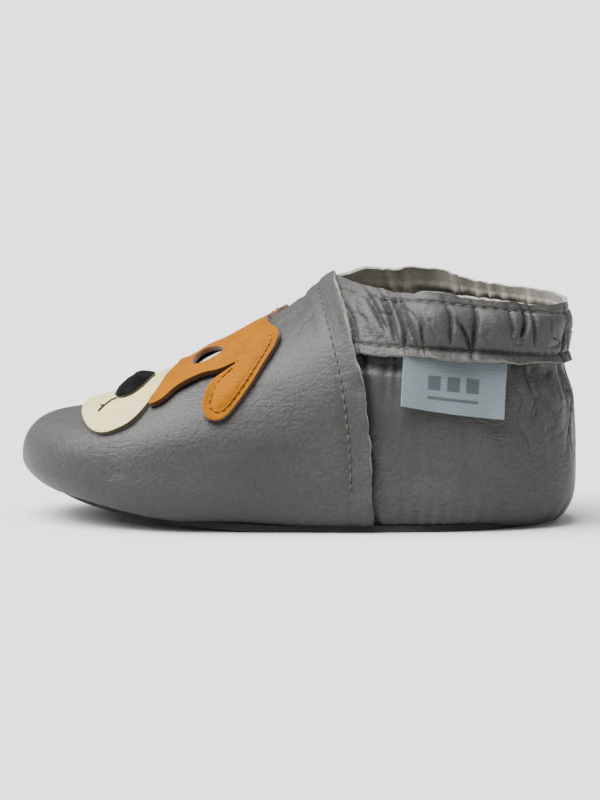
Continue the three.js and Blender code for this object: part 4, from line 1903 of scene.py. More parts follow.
@dataclass
class Quarter:
    """The quarter: wraps the heel, its wings under the vamp and its top gathered inside the cuff."""

    columns: int = 340
    rows: int = 96
    under: float = 11.0  # how far the wings run on under the vamp
    turned: float = 0.2  # share of the rows below the widest line
    sunk: float = 1.7  # how far it draws in under the cuff

    def start_turn(self, climb: Array, side: Array) -> Array:
        """The turn of the wings' front ends.

        Args:
            climb: Climbs: -1 at the sole, 0 at the widest line, 1 at the crest.
            side: The side each is on.

        Returns:
            The turns.
        """
        return LAST.edge_turn(climb, side, self.under)

    def top_height(self, x: Array) -> Array:
        """The quarter's top edge.

        Args:
            x: Stations along the last.

        Returns:
            The heights.
        """
        wing = LAST.seam_height(x) + 3
        top = wing + (LAST.rim_height(x) - LAST.rim_seam - wing) * ease(15, 30, x)
        return np.minimum(top, LAST.crest_height(x) - 7)

    def shape(self, u: Array, v: Array) -> tuple[Array, Array]:
        """Outer face of the quarter over grid coordinates.

        Args:
            u: First grid coordinates, from 0 to 1.
            v: Second grid coordinates, from 0 to 1.

        Returns:
            The points and the outward directions.
        """
        side = np.where(u < 0.5, -1.0, 1.0)
        from_heel = np.abs(2 * u - 1)
        lower = np.clip(v / self.turned, 0, 1) - 1
        start = by_row(np.clip(lower, -1, 0), side, self.start_turn)
        turn = start + (math.pi - start) * (1 - from_heel)
        under = LAST.point(turn, lower, side)
        rise = np.clip((v - self.turned) / (1 - self.turned), 0, 1)
        start_up = self.upper_start(side, rise)
        turn_up = start_up + (math.pi - start_up) * (1 - from_heel)
        floor = LAST.widest_height(under[:, 0])

        def height_of(x: Array) -> Array:
            """Height of this row at a station.

            Args:
                x: Stations along the last.

            Returns:
                The heights.
            """
            return floor + (self.top_height(x) - floor) * rise

        high, high_normals, _ = LAST.on_wall(turn_up, side, height_of)
        on_upper = v >= self.turned
        above = on_upper[:, None]
        points = np.where(above, high, under)
        normals = np.where(above, high_normals, LAST.normal(turn, np.clip(lower, -1, 0), side))
        turn = np.where(on_upper, turn_up, turn)
        lift = QUARTER_OUT - self.sink(points) + self.folds(points, turn, side)
        over_seam = points[:, 2] - LAST.seam_height(points[:, 0])
        lift -= self.sunk * ease(28, 40, points[:, 0]) * ease(0.5, 3, over_seam)
        lower = np.where(on_upper, 0, lower)
        lift += self.sole_pucker(points, lower)
        points = points + normals * lift[:, None]
        x = points[:, 0]
        beside = ease(0.3, 2.5, x - LAST.vamp_edge(points[:, 2])) * (1 - ease(20.5, 33.5, x))
        points[:, 2] -= (roll_over(x) + 1.5 * beside) * ease(-0.4, -0.9, lower)
        points[:, 0] -= heel_lean(points)
        return points, normals

    def upper_start(self, side: Array, rise: Array) -> Array:
        """Front end of the wings above the widest line.

        Args:
            side: The side each is on.
            rise: Climbs above the widest line, from 0 to 1.

        Returns:
            The turns.
        """
        return by_row(0.55 * rise, side, self.start_turn)

    def sink(self, points: Array) -> Array:
        """How far the wings sink to make room for the cuff's ends.

        Args:
            points: Points, in millimetres of the last.

        Returns:
            The depths.
        """
        x, z = points[:, 0], points[:, 2]
        low = LAST.seam_height(x)
        return (LEATHER + 2 * GAP) * (1 - ease(25, 37, x)) * ease(-7, -3.5, z - low)

    def folds(self, points: Array, turn: Array, side: Array) -> Array:
        """Gathers below the cuff, soft folds at the heel and the leather's own creases.

        Args:
            points: Points, in millimetres of the last.
            turn: Turns round the last.
            side: The side each is on.

        Returns:
            The heights.
        """
        x, z = points[:, 0], points[:, 2]
        drop = LAST.seam_height(x) - z
        s = round_ankle(turn, side)
        gathered = -1.15 * GATHERS.below(s, drop) * ease(-3, 1, drop + 3)
        inner = -0.8 * GATHERS.folds(s, np.clip(-drop / 10, 0, 1)) * ease(0, 2, -drop)
        flat = np.stack([s, s * 0, z], -1)
        soft = 0.6 * rough(flat, (13, 10, 30), 2, 3.0) * ease(6, 20, z) * ease(-4, 6, drop)
        at_heel = ease(44, 58, x) * ease(12, 22, z) * ease(-2, 5, drop)
        upright = 0.55 * at_heel * wrinkles(flat, (6, 7, 34), 0.42, 2.0)
        patchy = ease(0.1, 0.6, rough(flat, (16, 16, 12), 2, 11.0))
        fine = upright + 0.2 * patchy * wrinkles(flat, (6, 6, 4), 0.35, 5.0) * ease(-4, 4, drop)
        tuck = -0.9 * np.exp(-np.maximum(0, x - LAST.vamp_edge(z)) / 3.5) * ease(6, 16, z) * ease(2, 10, drop)
        return gathered + inner + soft + fine + tuck

    def sole_pucker(self, points: Array, lower: Array) -> Array:
        """Small pleats where the leather is turned in to the sole.

        Args:
            points: Points, in millimetres of the last.
            lower: How far below the widest line, from 0 to -1.

        Returns:
            The heights.
        """
        angle = np.arctan2(points[:, 1], points[:, 0] - 20)
        ripple = np.sin(angle * 58 + 2 * np.sin(angle * 7))
        return 0.14 * ripple * ease(-0.05, -0.5, lower) * (1 - ease(-0.8, -1, lower))

    def build(self, shop: Shop) -> None:
        """Makes the quarter.

        Args:
            shop: The workshop it is made in.
        """
        piece = sheet_piece(
            "quarter_leather",
            (self.columns, self.rows),
            self.shape,
            shop.leather("grey", "grey_cut"),
            shop.place,
            SheetCut(edge_round=0.2),
        )
        shop.keep(piece, "grey_leather", "quarter")


@dataclass
class Cuff:
    """The elasticated cuff: a raw-edged strip gathered over the elastic by two stitch lines."""

    columns: int = 600
    rows: int = 56
    front_x: float = 9.0  # station of the strip's cut ends
    puff: float = 1.8  # how far it stands off over the elastic
    flare: float = 1.2  # how far its lower edge stands off
    seat: float = 0.1  # how far its stitch lines stand off
    pitch: float = 2.5  # from stitch to stitch
    thickness: float = 0.8
    base_row: float = 0.14  # grid coordinate of the lower stitch line
    rim_row: float = 0.82  # grid coordinate of the upper stitch line

    def between(self, v: Array) -> tuple[Array, Array, Array]:
        """Splits a row coordinate.

        Args:
            v: Rows, 0 at the lower edge and 1 at the rim.

        Returns:
            How far down the flange, how far up between the stitch lines, and how far above them.
        """
        below = np.clip(1 - v / self.base_row, 0, 1)
        inner = np.clip((v - self.base_row) / (self.rim_row - self.base_row), 0, 1)
        return below, inner, np.clip((v - self.rim_row) / (1 - self.rim_row), 0, 1)

    def height(self, x: Array, v: Array) -> Array:
        """Height of a row at a station.

        Args:
            x: Stations along the last.
            v: Second grid coordinates, from 0 to 1.

        Returns:
            The heights.
        """
        seam, rim = LAST.seam_height(x), LAST.rim_height(x)
        below, inner, above = self.between(v)
        flange = seam - LAST.flange * below
        return flange + (rim - LAST.rim_seam - seam) * inner + LAST.rim_seam * above

    def stand_off(self, x: Array, t: Array, below: Array) -> Array:
        """How far the strip's inner face stands off the last, before the gathers.

        Args:
            x: Stations along the last.
            t: Places between the stitch lines, from 0 to 1.
            below: How far down the flange, from 0 to 1.

        Returns:
            The distances.
        """
        behind = ease(22, 34, x)
        billow = np.sin(math.pi * t) ** 0.7
        start = QUARTER_IN + (self.seat - QUARTER_IN) * behind
        heel = 1 - 0.6 * ease(48, 64, x)
        return start + behind * heel * (self.puff * billow + self.flare * below)

    def shape(self, u: Array, v: Array) -> tuple[Array, Array]:
        """Outer face of the cuff over grid coordinates.

        Args:
            u: First grid coordinates, from 0 to 1.
            v: Second grid coordinates, from 0 to 1.

        Returns:
            The points and the outward directions.
        """
        side = np.where(u < 0.5, -1.0, 1.0)
        from_heel = np.abs(2 * u - 1)
        start = by_row(v, side, self.front_turn)
        turn = start + (math.pi - start) * (1 - from_heel)
        points, normals, x = LAST.on_wall(turn, side, lambda at: self.height(at, v))
        below, t, above = self.between(v)
        s = round_ankle(turn, side)
        gather = GATHERS.folds(s, t)
        body = np.sin(math.pi * t) ** 0.45
        visible = ease(10, 17, x)
        flat = np.stack([s, s * 0, points[:, 2]], -1)
        lift = self.stand_off(x, t, below) + LEATHER
        lift -= visible * gather * (1.0 + 1.1 * body - 0.55 * above)
        lift += visible * 0.4 * rough(flat, (5, 5, 9), 2, 5.0) * body
        lift += visible * 0.4 * wrinkles(flat, (4.5, 5, 8), 0.4, 3.0) * body
        ruffle = rough(np.stack([s, s * 0, s * 0], -1), (7, 7, 7), 3, 8.0)
        lift += visible * (0.7 * ruffle + 0.35) * below * (1 - 0.8 * ease(48, 62, x))
        lift += visible * 0.45 * ruffle * above
        for line in (self.base_row, self.rim_row):
            near = np.exp(-(((v - line) / 0.028) ** 2))
            pinch = 0.5 + 0.5 * np.cos(s * 2 * math.pi / self.pitch)
            lift -= near * (0.25 + 0.22 * pinch)
        points = points + normals * lift[:, None]
        edge_wave = 0.4 * rough(np.stack([s, s * 0, s * 0], -1), (6, 6, 6), 3, 12.0)
        points[:, 0] -= heel_lean(points)
        sway = LAST.rim_sway(x, side) * np.clip(0.25 * t + above, 0, 1)
        points[:, 2] += edge_wave * (above**2 - below**2) + sway * (1 - ease(64, 67, x))
        return points, normals

    def elastic_shape(self, u: Array, v: Array) -> tuple[Array, Array]:
        """Outer face of the elastic, which lies inside the folds of the strip.

        Args:
            u: First grid coordinates, from 0 to 1.
            v: Second grid coordinates, from 0 to 1.

        Returns:
            The points and the outward directions.
        """
        points, normals = self.shape(0.5 + (u - 0.5) * 0.92, 0.28 + 0.4 * v)
        return points - normals * (self.thickness + 0.25), normals

    def front_turn(self, v: Array, side: Array) -> Array:
        """The turn of the strip's cut ends.

        Args:
            v: Second grid coordinates, from 0 to 1.
            side: The side each is on.

        Returns:
            The turns.
        """
        low, high = np.full(v.shape, math.pi * 0.45), np.full(v.shape, math.pi * 0.95)

        def below(turn: Array) -> Array:
            """Whether a trial turn is still ahead of the cut end.

            Args:
                turn: Trial turns.

            Returns:
                True where it is so.
            """
            return LAST.on_wall(turn, side, lambda at: self.height(at, v))[2] < self.front_x

        return halve(low, high, below)

    def stitch_path(self, line: float) -> tuple[Array, Array]:
        """A stitch line round the cuff, on the gathered leather.

        Args:
            line: Grid coordinate of the line.

        Returns:
            The points and the outward directions.
        """
        u = np.linspace(0.035, 0.965, 520)
        points, normals = self.shape(u, np.full(u.shape, line))
        kernel = np.ones(5) / 5
        smooth = np.stack([np.convolve(points[:, k], kernel, mode="same") for k in range(3)], -1)
        smooth[:2], smooth[-2:] = points[:2], points[-2:]
        return smooth, normals

    def build(self, shop: Shop) -> None:
        """Makes the cuff and both stitch lines.

        Args:
            shop: The workshop it is made in.
        """
        piece = sheet_piece(
            "cuff_leather",
            (self.columns, self.rows),
            self.shape,
            shop.leather("grey", "grey_cut"),
            shop.place,
            SheetCut(self.thickness, 0.2),
        )
        shop.keep(piece, "grey_leather", "cuff_band")
        elastic = sheet_piece(
            "elastic_band",
            (self.columns // 2, 8),
            self.elastic_shape,
            [shop.wardrobe["elastic"]] * 3,
            shop.place,
            SheetCut(0.7, 0),
        )
        shop.keep(elastic, "elastic", "ankle_elastic")
        for name, line, replaced in (
            ("cuff_base_stitches", self.base_row, "cuff_base_thread"),
            ("cuff_rim_stitches", self.rim_row, "cuff_rim_thread"),
        ):
            path, normals = self.stitch_path(line)
            seam = stitched(
                name,
                path,
                normals,
                self.pitch,
                1.75,
                0.46,
                [shop.wardrobe["grey_thread"], shop.wardrobe["hole"]],
                shop.place,
                0.18,
            )
            shop.keep(seam, "grey_thread", replaced)


@dataclass
class Sole:
    """The turned suede sole and the suede-covered foam inside."""

    columns: int = 260
    rows: int = 40

    def plate(
        self, inset: float, top: float, crown: float, tucked: float = 0.0
    ) -> Callable[[Array, Array], tuple[Array, Array]]:
        """Upper face of a plate that follows the tread.

        Args:
            inset: How far its rim lies inside the feather line.
            top: Height of its rim over the tread.
            crown: How much higher its middle is.
            tucked: How much further the rim draws in at toe and heel.

        Returns:
            The shape function of a sheet piece.
        """

        def shape(u: Array, v: Array) -> tuple[Array, Array]:
            """Points over grid coordinates: round the foot, and from the middle to the rim.

            Args:
                u: First grid coordinates, from 0 to 1.
                v: Second grid coordinates, from 0 to 1.

            Returns:
                The points and the outward directions.
            """
            side = np.where(u < 0.5, -1.0, 1.0)
            turn = math.pi * np.where(u < 0.5, 2 * u, 2 - 2 * u)
            feather, outward = LAST.feather(turn, side)
            crest = LAST.station(turn, side)["crest"]
            hidden = tucked * (1 - flush_sole(feather[:, 0]))
            rim = feather - outward * (inset + hidden)[:, None]
            flat = crest[:, :2] + (rim - crest)[:, :2] * v[:, None]
            height = LAST.tread(flat[:, 0]) + top + crown * (1 - v**2)
            points = np.concatenate([flat, height[:, None]], -1)
            points[:, 2] += 0.08 * rough(points, (9, 9, 9), 2, 6.0) * (crown > 0)
            return points, np.tile([0.0, 0.0, 1.0], (len(u), 1))

        return shape

    def build(self, shop: Shop) -> None:
        """Makes the outsole and the insole cover.

        Args:
            shop: The workshop it is made in.
        """
        suede = [shop.wardrobe["outsole"]] * 3
        out = sheet_piece(
            "outsole_suede",
            (self.columns, self.rows),
            self.plate(-0.5, SUEDE, 0, 1.9),
            suede,
            shop.place,
            SheetCut(SUEDE, 0.35, 3),
        )
        shop.keep(out, "grey_suede", "outsole")
        bank = MARGIN_Z + 2 * (LEATHER + GAP)
        sock = [shop.wardrobe["sock"]] * 3
        cover = sheet_piece(
            "insole_cover",
            (self.columns, self.rows),
            self.plate(0.5, bank + SOCK, 0.3),
            sock,
            shop.place,
            SheetCut(SOCK, 0.3),
        )
        shop.keep(cover, "pale_suede", "insole_sock")


@dataclass
class DogFace:
    """The applique: a tan mask with ears, eye whites, cream muzzle, padded nose and mouth lines."""

    shift: float = -2.0
    skew: float = 0.07
    low: float = LEATHER + 0.05
    mask_half: Outline = field(
        default_factory=lambda: [
            (-6.0, 0), (-4.6, 5.5), (-1.8, 12.6), (-5.6, 21), (-10.6, 28.2), (-13.6, 30.6), (-16.9, 29.6),
            (-18.3, 26), (-16.9, 21.2), (-13.4, 18), (-10.9, 15.6), (-15, 17.3), (-20, 17.1), (-25, 18.6),
            (-28.4, 21), (-31.4, 20.4), (-29.6, 14.6), (-27.6, 8), (-27.0, 0),
        ]
    )
    eye_half: Outline = field(
        default_factory=lambda: [
            (-22.2, 11.4), (-22.2, 6.4), (-20.2, 3.6), (-17.3, 5.6), (-15.3, 9.3), (-17.2, 11.6),
            (-19.6, 12.6),
        ]
    )
    white_half: Outline = field(
        default_factory=lambda: [
            (-21.8, 11.2), (-19.4, 9.0), (-17, 8.2), (-15.7, 9.3), (-17.3, 11.4), (-19.6, 12.4),
        ]
    )
    ear_seam_half: Outline = field(
        default_factory=lambda: [
            (-7.4, 7.4), (-3.6, 12.6), (-7.0, 20.4), (-11.4, 26.8), (-13.8, 28.8), (-15.9, 28.0),
            (-16.7, 25.8), (-15.3, 21.4), (-12.4, 18.2),
        ]
    )
    mouth_half: Outline = field(
        default_factory=lambda: [(-40.8, 10.6), (-42.0, 11.0), (-42.9, 13.2), (-44.2, 16.0)]
    )
    mouth_fork: Outline = field(default_factory=lambda: [(-43.0, 13.6), (-44.1, 12.9)])
    muzzle: tuple[float, float, float, float, float] = (-39.4, 11.3, 10.6, 26.4, 0.2)
    nose: tuple[float, float, float, float, float] = (-38.0, 4.7, 4.7, 13.4, -1.6)

    def onto(self, points: Array | Outline, side: int = 1) -> Array:
        """Face coordinates to the leather's own.

        Args:
            points: Places in the face's coordinates.
            side: The side each is on.

        Returns:
            Places on the flat leather.
        """
        p = np.array(points, float) * np.array([1, side])
        return np.stack([p[:, 0] + self.skew * p[:, 1], p[:, 1] + self.shift], -1)

    @staticmethod
    def oval(x: float, front: float, rear: float, half: float, shift: float, steps: int = 96) -> Array:
        """A soft oval, squarer at its front.

        Args:
            x: Its middle station.
            front: Reach forwards.
            rear: Reach backwards.
            half: Half its width.
            shift: How far it lies off the middle.
            steps: How many points it has.

        Returns:
            Its points.
        """
        angle = np.linspace(0, 2 * math.pi, steps, endpoint=False)
        c, s = np.cos(angle), np.sin(angle)
        power = 2 / np.where(c < 0, 2.7, 2.1)
        reach = np.where(c < 0, front, rear)
        along = x + np.sign(c) * reach * np.abs(c) ** power
        return np.stack([along, shift + np.sign(s) * half * np.abs(s) ** power], -1)

    def patch(
        self,
        name: str,
        pattern: PatchPattern,
        height: Callable[[Array, Array], Array],
        finish: tuple[str, str],
        shop: Shop,
        thickness: float = LEATHER,
        round_off: float = 0.22,
    ) -> bpy.types.Object:
        """A leather patch laid on the vamp.

        Args:
            name: The piece's name.
            pattern: Its flat cut.
            height: Height of its top face over the last, from flat places and edge distances.
            finish: Face and cut edge.
            shop: Placement and materials.
            thickness: Leather thickness.
            round_off: Rounding of the cut edge.

        Returns:
            The object.
        """
        bm, flat, gap = pattern.mesh()
        points, normals = shop.leather_map.at(flat[:, 0], flat[:, 1])
        top = points + normals * (height(flat, gap) - toe_dip(points))[:, None]
        set_places(bm, shop.place(top))
        face_outwards(bm, normals)
        return solid_sheet(name, bm, shop.leather(*finish, finish[1]), SheetCut(thickness, round_off))

    def build(self, shop: Shop) -> None:
        """Makes all the patches, the gold ear stitching and the mouth.

        Args:
            shop: The workshop it is made in.
        """
        half = self.mask_half
        ring = [*half, *[(u, -v) for u, v in reversed(half[1:-1])]]
        eyes = [outline_points([tuple(p) for p in self.onto(self.eye_half, s)]) for s in (1, -1)]
        outline = outline_points([tuple(p) for p in self.onto(ring)])
        top = self.low + LEATHER
        seams = [self.ear_line(s) for s in (-1, 1)]

        def mask_height(flat: Array, gap: Array) -> Array:
            """Low at the stitches, a little full between them, lifting at the face's lower edge.

            Args:
                flat: Flat places.
                gap: Distances from the patch's edge.

            Returns:
                The heights.
            """
            stitch = np.min([nearest_on(flat, seam)[1] for seam in seams], axis=0)
            wave = rough(on_flat(flat), (6, 6, 6), 2, 3.0)
            lifted = 0.5 * (1 - ease(0, 2.5, gap)) * ease(-12, -20, flat[:, 0])
            pulled = 0.3 * np.exp(-((stitch / 0.9) ** 2))
            return top + 0.2 * ease(0, 2.5, gap) - pulled + 0.14 * wave + lifted + self.ear_lift(flat)

        pattern = PatchPattern(outline, eyes, 0.5)
        mask = self.patch("mask_leather", pattern, mask_height, ("tan", "tan_cut"), shop)
        shop.keep(mask, "tan_leather", "dog_mask")

        def muzzle_height(flat: Array, gap: Array) -> Array:
            """A thick, slightly crowned patch.

            Args:
                flat: Flat places.
                gap: Distances from the patch's edge.

            Returns:
                The heights.
            """
            return top + 0.1 + 0.35 * ease(0, 5, gap) + 0.08 * rough(on_flat(flat), (8, 8, 8), 2, 5.0)

        pattern = PatchPattern(self.oval(*self.muzzle), [], 0.5)
        muzzle = self.patch("muzzle_leather", pattern, muzzle_height, ("cream", "cream_cut"), shop, 1.4, 0.3)
        shop.keep(muzzle, "cream_leather", "muzzle_patch")

        def nose_height(flat: Array, gap: Array) -> Array:
            """A padded crown that falls steeply to its sewn edge.

            Args:
                flat: Flat places.
                gap: Distances from the patch's edge.

            Returns:
                The heights.
            """
            crown = 1 - (1 - np.clip(gap / 4.0, 0, 1)) ** 2.2
            dimple = rough(on_flat(flat), (3.4, 3.4, 3.4), 3, 2.0)
            return top + 1.0 + 2.0 * crown + 0.25 * dimple * ease(0.3, 2, gap)

        pattern = PatchPattern(self.oval(*self.nose), [], 0.4)
        nose = self.patch("nose_leather", pattern, nose_height, ("ink", "ink_cut"), shop, 0.8, 0.3)
        shop.keep(nose, "ink_leather", "nose_patch")

        for side in Side:
            self.build_half(side, top, shop)

    @staticmethod
    def ear_lift(flat: Array) -> Array:
        """How far the medial ear's upper corner stands off the leather.

        Args:
            flat: Flat places.

        Returns:
            The heights.
        """
        across = ease(2, 11, flat[:, 1]) * (1 - ease(15, 25, flat[:, 1]))
        return 2.6 * across * ease(-12, -3, flat[:, 0])

    def ear_line(self, side: int) -> Array:
        """The ear's stitch line, on flat leather.

        Args:
            side: The ear's side.

        Returns:
            Its points.
        """
        control = self.onto(self.ear_seam_half, side)
        padded = np.vstack([2 * control[0] - control[1], control, 2 * control[-1] - control[-2]])
        rows = []
        for a, b, c, d in zip(padded, padded[1:], padded[2:], padded[3:]):
            t = np.linspace(0, 1, 16, endpoint=False)[:, None]
            square = (2 * a - 5 * b + 4 * c - d) * t**2
            rows.append(0.5 * (2 * b + (c - a) * t + square + (3 * b - a - 3 * c + d) * t**3))
        return np.vstack([*rows, control[-1:]])

    def build_half(self, side: Side, top: float, shop: Shop) -> None:
        """Eye white, ear stitching and mouth line of one side.

        Args:
            side: The half's side.
            top: Height of the leather's face.
            shop: The workshop it is made in.
        """
        hand = side.value
        word = side.name.lower()
        white = outline_points([tuple(p) for p in self.onto(self.white_half, hand)])

        def white_height(flat: Array, gap: Array) -> Array:
            """Lies low inside the eye hole.

            Args:
                flat: Flat places.
                gap: Distances from the patch's edge.

            Returns:
                The heights.
            """
            return self.low + 0.7 + 0.1 * ease(0, 1, gap)

        pattern = PatchPattern(white, [], 0.3)
        finish = ("white", "cream_cut")
        eye = self.patch(f"eye_white_{word}_leather", pattern, white_height, finish, shop, 0.6, 0.12)
        shop.keep(eye, "white_leather", f"eye_white_{word}")
        line = self.ear_line(hand)
        points, normals = shop.leather_map.at(line[:, 0], line[:, 1])
        far_ear = self.ear_lift(line)
        ear = stitched(
            f"ear_stitches_{word}",
            points + normals * (top - 0.1 - toe_dip(points) + far_ear)[:, None],
            normals,
            1.9,
            1.45,
            0.5,
            [shop.wardrobe["gold_thread"], shop.wardrobe["tan_cut"]],
            shop.place,
            0.1,
        )
        shop.keep(ear, "gold_thread", f"ear_thread_{word}")
        runs = []
        for stroke in (self.mouth_half, self.mouth_fork):
            knots = self.onto(stroke, hand)
            along = np.linspace(0, len(knots) - 1, 40)
            fine = np.stack([np.interp(along, range(len(knots)), knots[:, k]) for k in range(2)], -1)
            points, normals = shop.leather_map.at(fine[:, 0], fine[:, 1])
            runs.append((points + normals * (top + 0.42 - toe_dip(points))[:, None], normals))
        mouth = thread_run(f"mouth_line_{word}", runs, 0.55, [shop.wardrobe["dark_thread"]], shop.place)
        shop.keep(mouth, "dark_thread", f"mouth_thread_{word}")


@dataclass
class SizeLabel:
    """The woven label: a satin flap that turns about its top edge, under the cuff's raw edge."""

    width: float = 24.5
    drop: float = 10.8
    tuck: float = 1.0
    bend: float = 0.9  # how far below the hinge the flap would be straight again when lifted; handed to keep, which does not bend the label
    thickness: float = 0.25
    skew: float = 0.075  # how much longer it is on average: nothing at one end, twice this at the other
    bar_starts: tuple[float, float, float] = (6.2, 10.7, 15.2)  # the mark's bars, along the label
    bar_wide: float = 3.0
    bar_rows: tuple[float, float] = (3.0, 6.2)  # top and foot of the bars
    rule_rows: tuple[float, float] = (7.6, 8.2)  # top and foot of the rule
    columns: int = 98
    rows: int = 52

    def frame(self, shop: Shop) -> tuple[Array, Array, Array, Array]:
        """Hinge point, across, out and down directions, in millimetres of the last.

        Args:
            shop: The workshop it is made in.

        Returns:
            The point and the three directions.
        """
        box_low, box_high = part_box("size_label")
        joints = {j["name"]: j for j in shop.frame["record"]["behaviour"]["joints"]}
        hinge = np.array(joints["label_hinge"]["pos_m"]) / MM - shop.place.shift
        across = -unit(np.array(joints["label_hinge"]["axis"], float))
        slope = math.atan2(abs(across[2]), 1)
        lean = (box_high[2] - box_low[2]) / MM
        down_length = lean - self.width * math.sin(slope)
        down_z = -down_length / self.drop
        out_y = -math.sqrt(max(0.0, 1 - down_z**2))
        down = np.array([0.0, out_y, down_z])
        down = unit(down - across * down.dot(across))
        out = unit(np.cross(down, across))
        return hinge, across, out if out[1] < 0 else -out, down

    def build(self, shop: Shop) -> None:
        """Makes the label with its generic woven mark.

        Args:
            shop: The workshop it is made in.
        """
        hinge, across, out, down = self.frame(shop)
        length = self.drop + self.tuck

        def shape(u: Array, v: Array) -> tuple[Array, Array]:
            """Points over grid coordinates: across, and down from the tucked edge.

            Args:
                u: First grid coordinates, from 0 to 1.
                v: Second grid coordinates, from 0 to 1.

            Returns:
                The points and the outward directions.
            """
            s = (u - 0.5) * self.width
            t = (1 - v) * length - self.tuck
            bow = 0.5 * (s / 12) ** 2 * -1.1
            curl = 0.9 * np.clip(t / self.drop, 0, 1) ** 2 * (0.35 + 0.65 * np.abs(s / 12) ** 2)
            ripple = 0.22 * np.sin(s * 0.42 + 0.6) * np.clip(t / self.drop, 0, 1)
            lift = self.thickness + 0.15 + bow * (1 - 0.6 * np.clip(t / self.drop, 0, 1)) + curl + ripple
            sag = 0.35 * (1 - (s / 12.25) ** 2) * np.clip(t / self.drop, 0, 1) ** 3
            t = t * (1 + self.skew * (2 * u))
            points = hinge + across * s[:, None] + down * (t + sag)[:, None] + out * lift[:, None]
            return points, np.tile(out, (len(u), 1))

        satin = [shop.wardrobe["satin"]] * 3
        piece = sheet_piece(
            "label_satin", (self.columns, self.rows), shape, satin, shop.place, SheetCut(self.thickness, 0.0)
        )
        self.dress(piece)
        shop.keep(piece, "satin", "size_label", bend=(hinge - down * self.tuck, hinge + down * self.bend))
        flat = (self.width * MM, length * (1 + self.skew) * MM)

    def dress(self, piece: bpy.types.Object) -> None:
        """Gives the label a UV map in millimetres and weaves the mark as an attribute.

        Args:
            piece: The label's object.
        """
        mesh = piece.data
        uv = mesh.uv_layers.new(name="ribbon")
        mark = mesh.attributes.new("mark", "FLOAT", "POINT")
        count_u = self.columns + 1
        flat = np.zeros((len(mesh.vertices), 2))
        for i in range(len(mesh.vertices)):
            flat[i] = (i % count_u) / self.columns, (i // count_u) / self.rows
        for loop in mesh.loops:
            u, v = flat[loop.vertex_index]
            uv.data[loop.index].uv = (u * self.width, v * (self.drop + self.tuck))
        for i, (u, v) in enumerate(flat):
            mark.data[i].value = self.mark_at(u * self.width, (1 - v) * (self.drop + self.tuck) - self.tuck)

    def mark_at(self, s: float, t: float) -> float:
        """A generic woven mark: three plain bars above a thin rule.

        Args:
            s: Distance along the label.
            t: Distance down it.

        Returns:
            1 on the mark, 0 off it.
        """
        first, last = self.bar_starts[0], self.bar_starts[-1] + self.bar_wide
        in_bar = any(low <= s <= low + self.bar_wide for low in self.bar_starts)
        bars = in_bar and self.bar_rows[0] <= t <= self.bar_rows[1]
        rule = first <= s <= last and self.rule_rows[0] <= t <= self.rule_rows[1]
        return 1.0 if bars or rule else 0.0


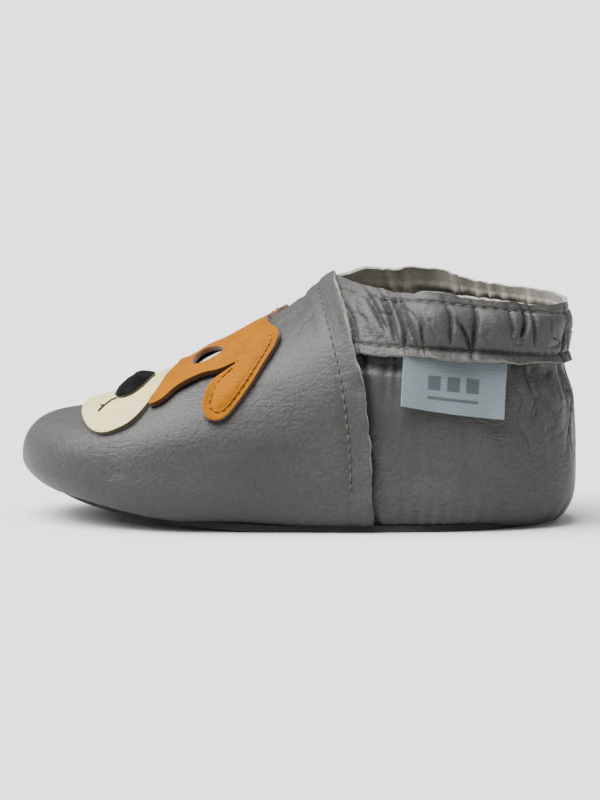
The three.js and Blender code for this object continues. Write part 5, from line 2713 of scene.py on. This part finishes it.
@dataclass
class Studio:
    """Pale floor, soft light from above and the camera."""

    azimuth: float = 4.0
    elevation: float = 6.5
    distance: float = 0.9
    frame_width: float = 0.1446
    target: tuple[float, float, float] = (-0.0002, 0.0008, 0.02855)
    floor_half: float = 30.0
    surroundings: float = 0.5  # strength of the white surroundings
    sensor_high: float = 36.0  # millimetres; the upright picture is three quarters as wide
    sensor_wide: float = 27.0
    sight: float = 200.0  # the camera sees this far

    def build(self, wardrobe: Wardrobe) -> None:
        """Sets the stage.

        Args:
            wardrobe: The finishes.
        """
        self.floor(wardrobe)
        self.world()
        self.sun("overhead", (-0.35, -0.18, 1.0), spread=50, power=6.4)
        self.sun("raking", (-0.9, -0.45, 0.9), spread=36, power=1.8)
        self.camera()

    def floor(self, wardrobe: Wardrobe) -> None:
        """A wide pale floor.

        Args:
            wardrobe: The finishes.
        """
        bm = bmesh.new()
        bmesh.ops.create_grid(bm, x_segments=4, y_segments=4, size=self.floor_half)
        mesh = bpy.data.meshes.new("studio_floor")
        bm.to_mesh(mesh)
        bm.free()
        floor = link("studio_floor", mesh, [wardrobe["floor"]])

    def world(self) -> None:
        """Even white surroundings."""
        world = bpy.data.worlds.new("studio")
        world.use_nodes = True
        background = world.node_tree.nodes["Background"]
        background.inputs["Color"].default_value = (1, 1, 1, 1)
        background.inputs["Strength"].default_value = self.surroundings
        bpy.context.scene.world = world

    def sun(self, name: str, towards: tuple[float, float, float], spread: float, power: float) -> None:
        """A far soft light: where it shines from, how wide it is in degrees, and its strength.

        Args:
            name: The light's name.
            towards: Where it shines from.
            spread: How wide it is, in degrees.
            power: Its strength.
        """
        data = bpy.data.lights.new(name, "SUN")
        data.angle = math.radians(spread)
        data.energy = power
        lamp = bpy.data.objects.new(name, data)
        lamp.rotation_euler = Vector(towards).to_track_quat("Z", "Y").to_euler()
        bpy.context.scene.collection.objects.link(lamp)

    def camera(self) -> None:
        """The camera, a little above the bootie on its lateral side."""
        a, e = math.radians(self.azimuth), math.radians(self.elevation)
        back = Vector((math.sin(a) * math.cos(e), -math.cos(a) * math.cos(e), math.sin(e)))
        data = bpy.data.cameras.new("camera")
        data.sensor_width = self.sensor_high
        data.lens = self.sensor_wide * self.distance / self.frame_width
        data.clip_end = self.sight
        camera = bpy.data.objects.new("camera", data)
        camera.location = Vector(self.target) + back * self.distance
        camera.rotation_euler = (-back).to_track_quat("-Z", "Y").to_euler()
        bpy.context.scene.collection.objects.link(camera)
        bpy.context.scene.camera = camera


def dress_hidden(frame: dict, wardrobe: Wardrobe) -> None:
    """Gives the pieces sealed inside the bootie their finishes.

    Args:
        frame: The loaded frame.
        wardrobe: The finishes.
    """
    for name, finish in (("insole_pad", "foam"), ("sole_seam_thread", "grey_thread")):
        slots = frame["nodes"][name].data.materials
        slots.clear()
        slots.append(wardrobe[finish])


def main() -> None:
    """Builds the bootie over the frame."""
    logging.basicConfig(level=logging.INFO, format="%(name)s %(message)s")
    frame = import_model()
    wardrobe = Wardrobe()
    Studio().build(wardrobe)
    shop = Shop(Placement.from_frame(LAST), wardrobe, LeatherMap(LAST), frame)
    LOG.info("shift %s", shop.place.shift)
    for part in (Sole(), Vamp(), Quarter(), Cuff(), DogFace(), SizeLabel()):
        part.build(shop)
    dress_hidden(frame, wardrobe)


if __name__ == "__main__":
    main()
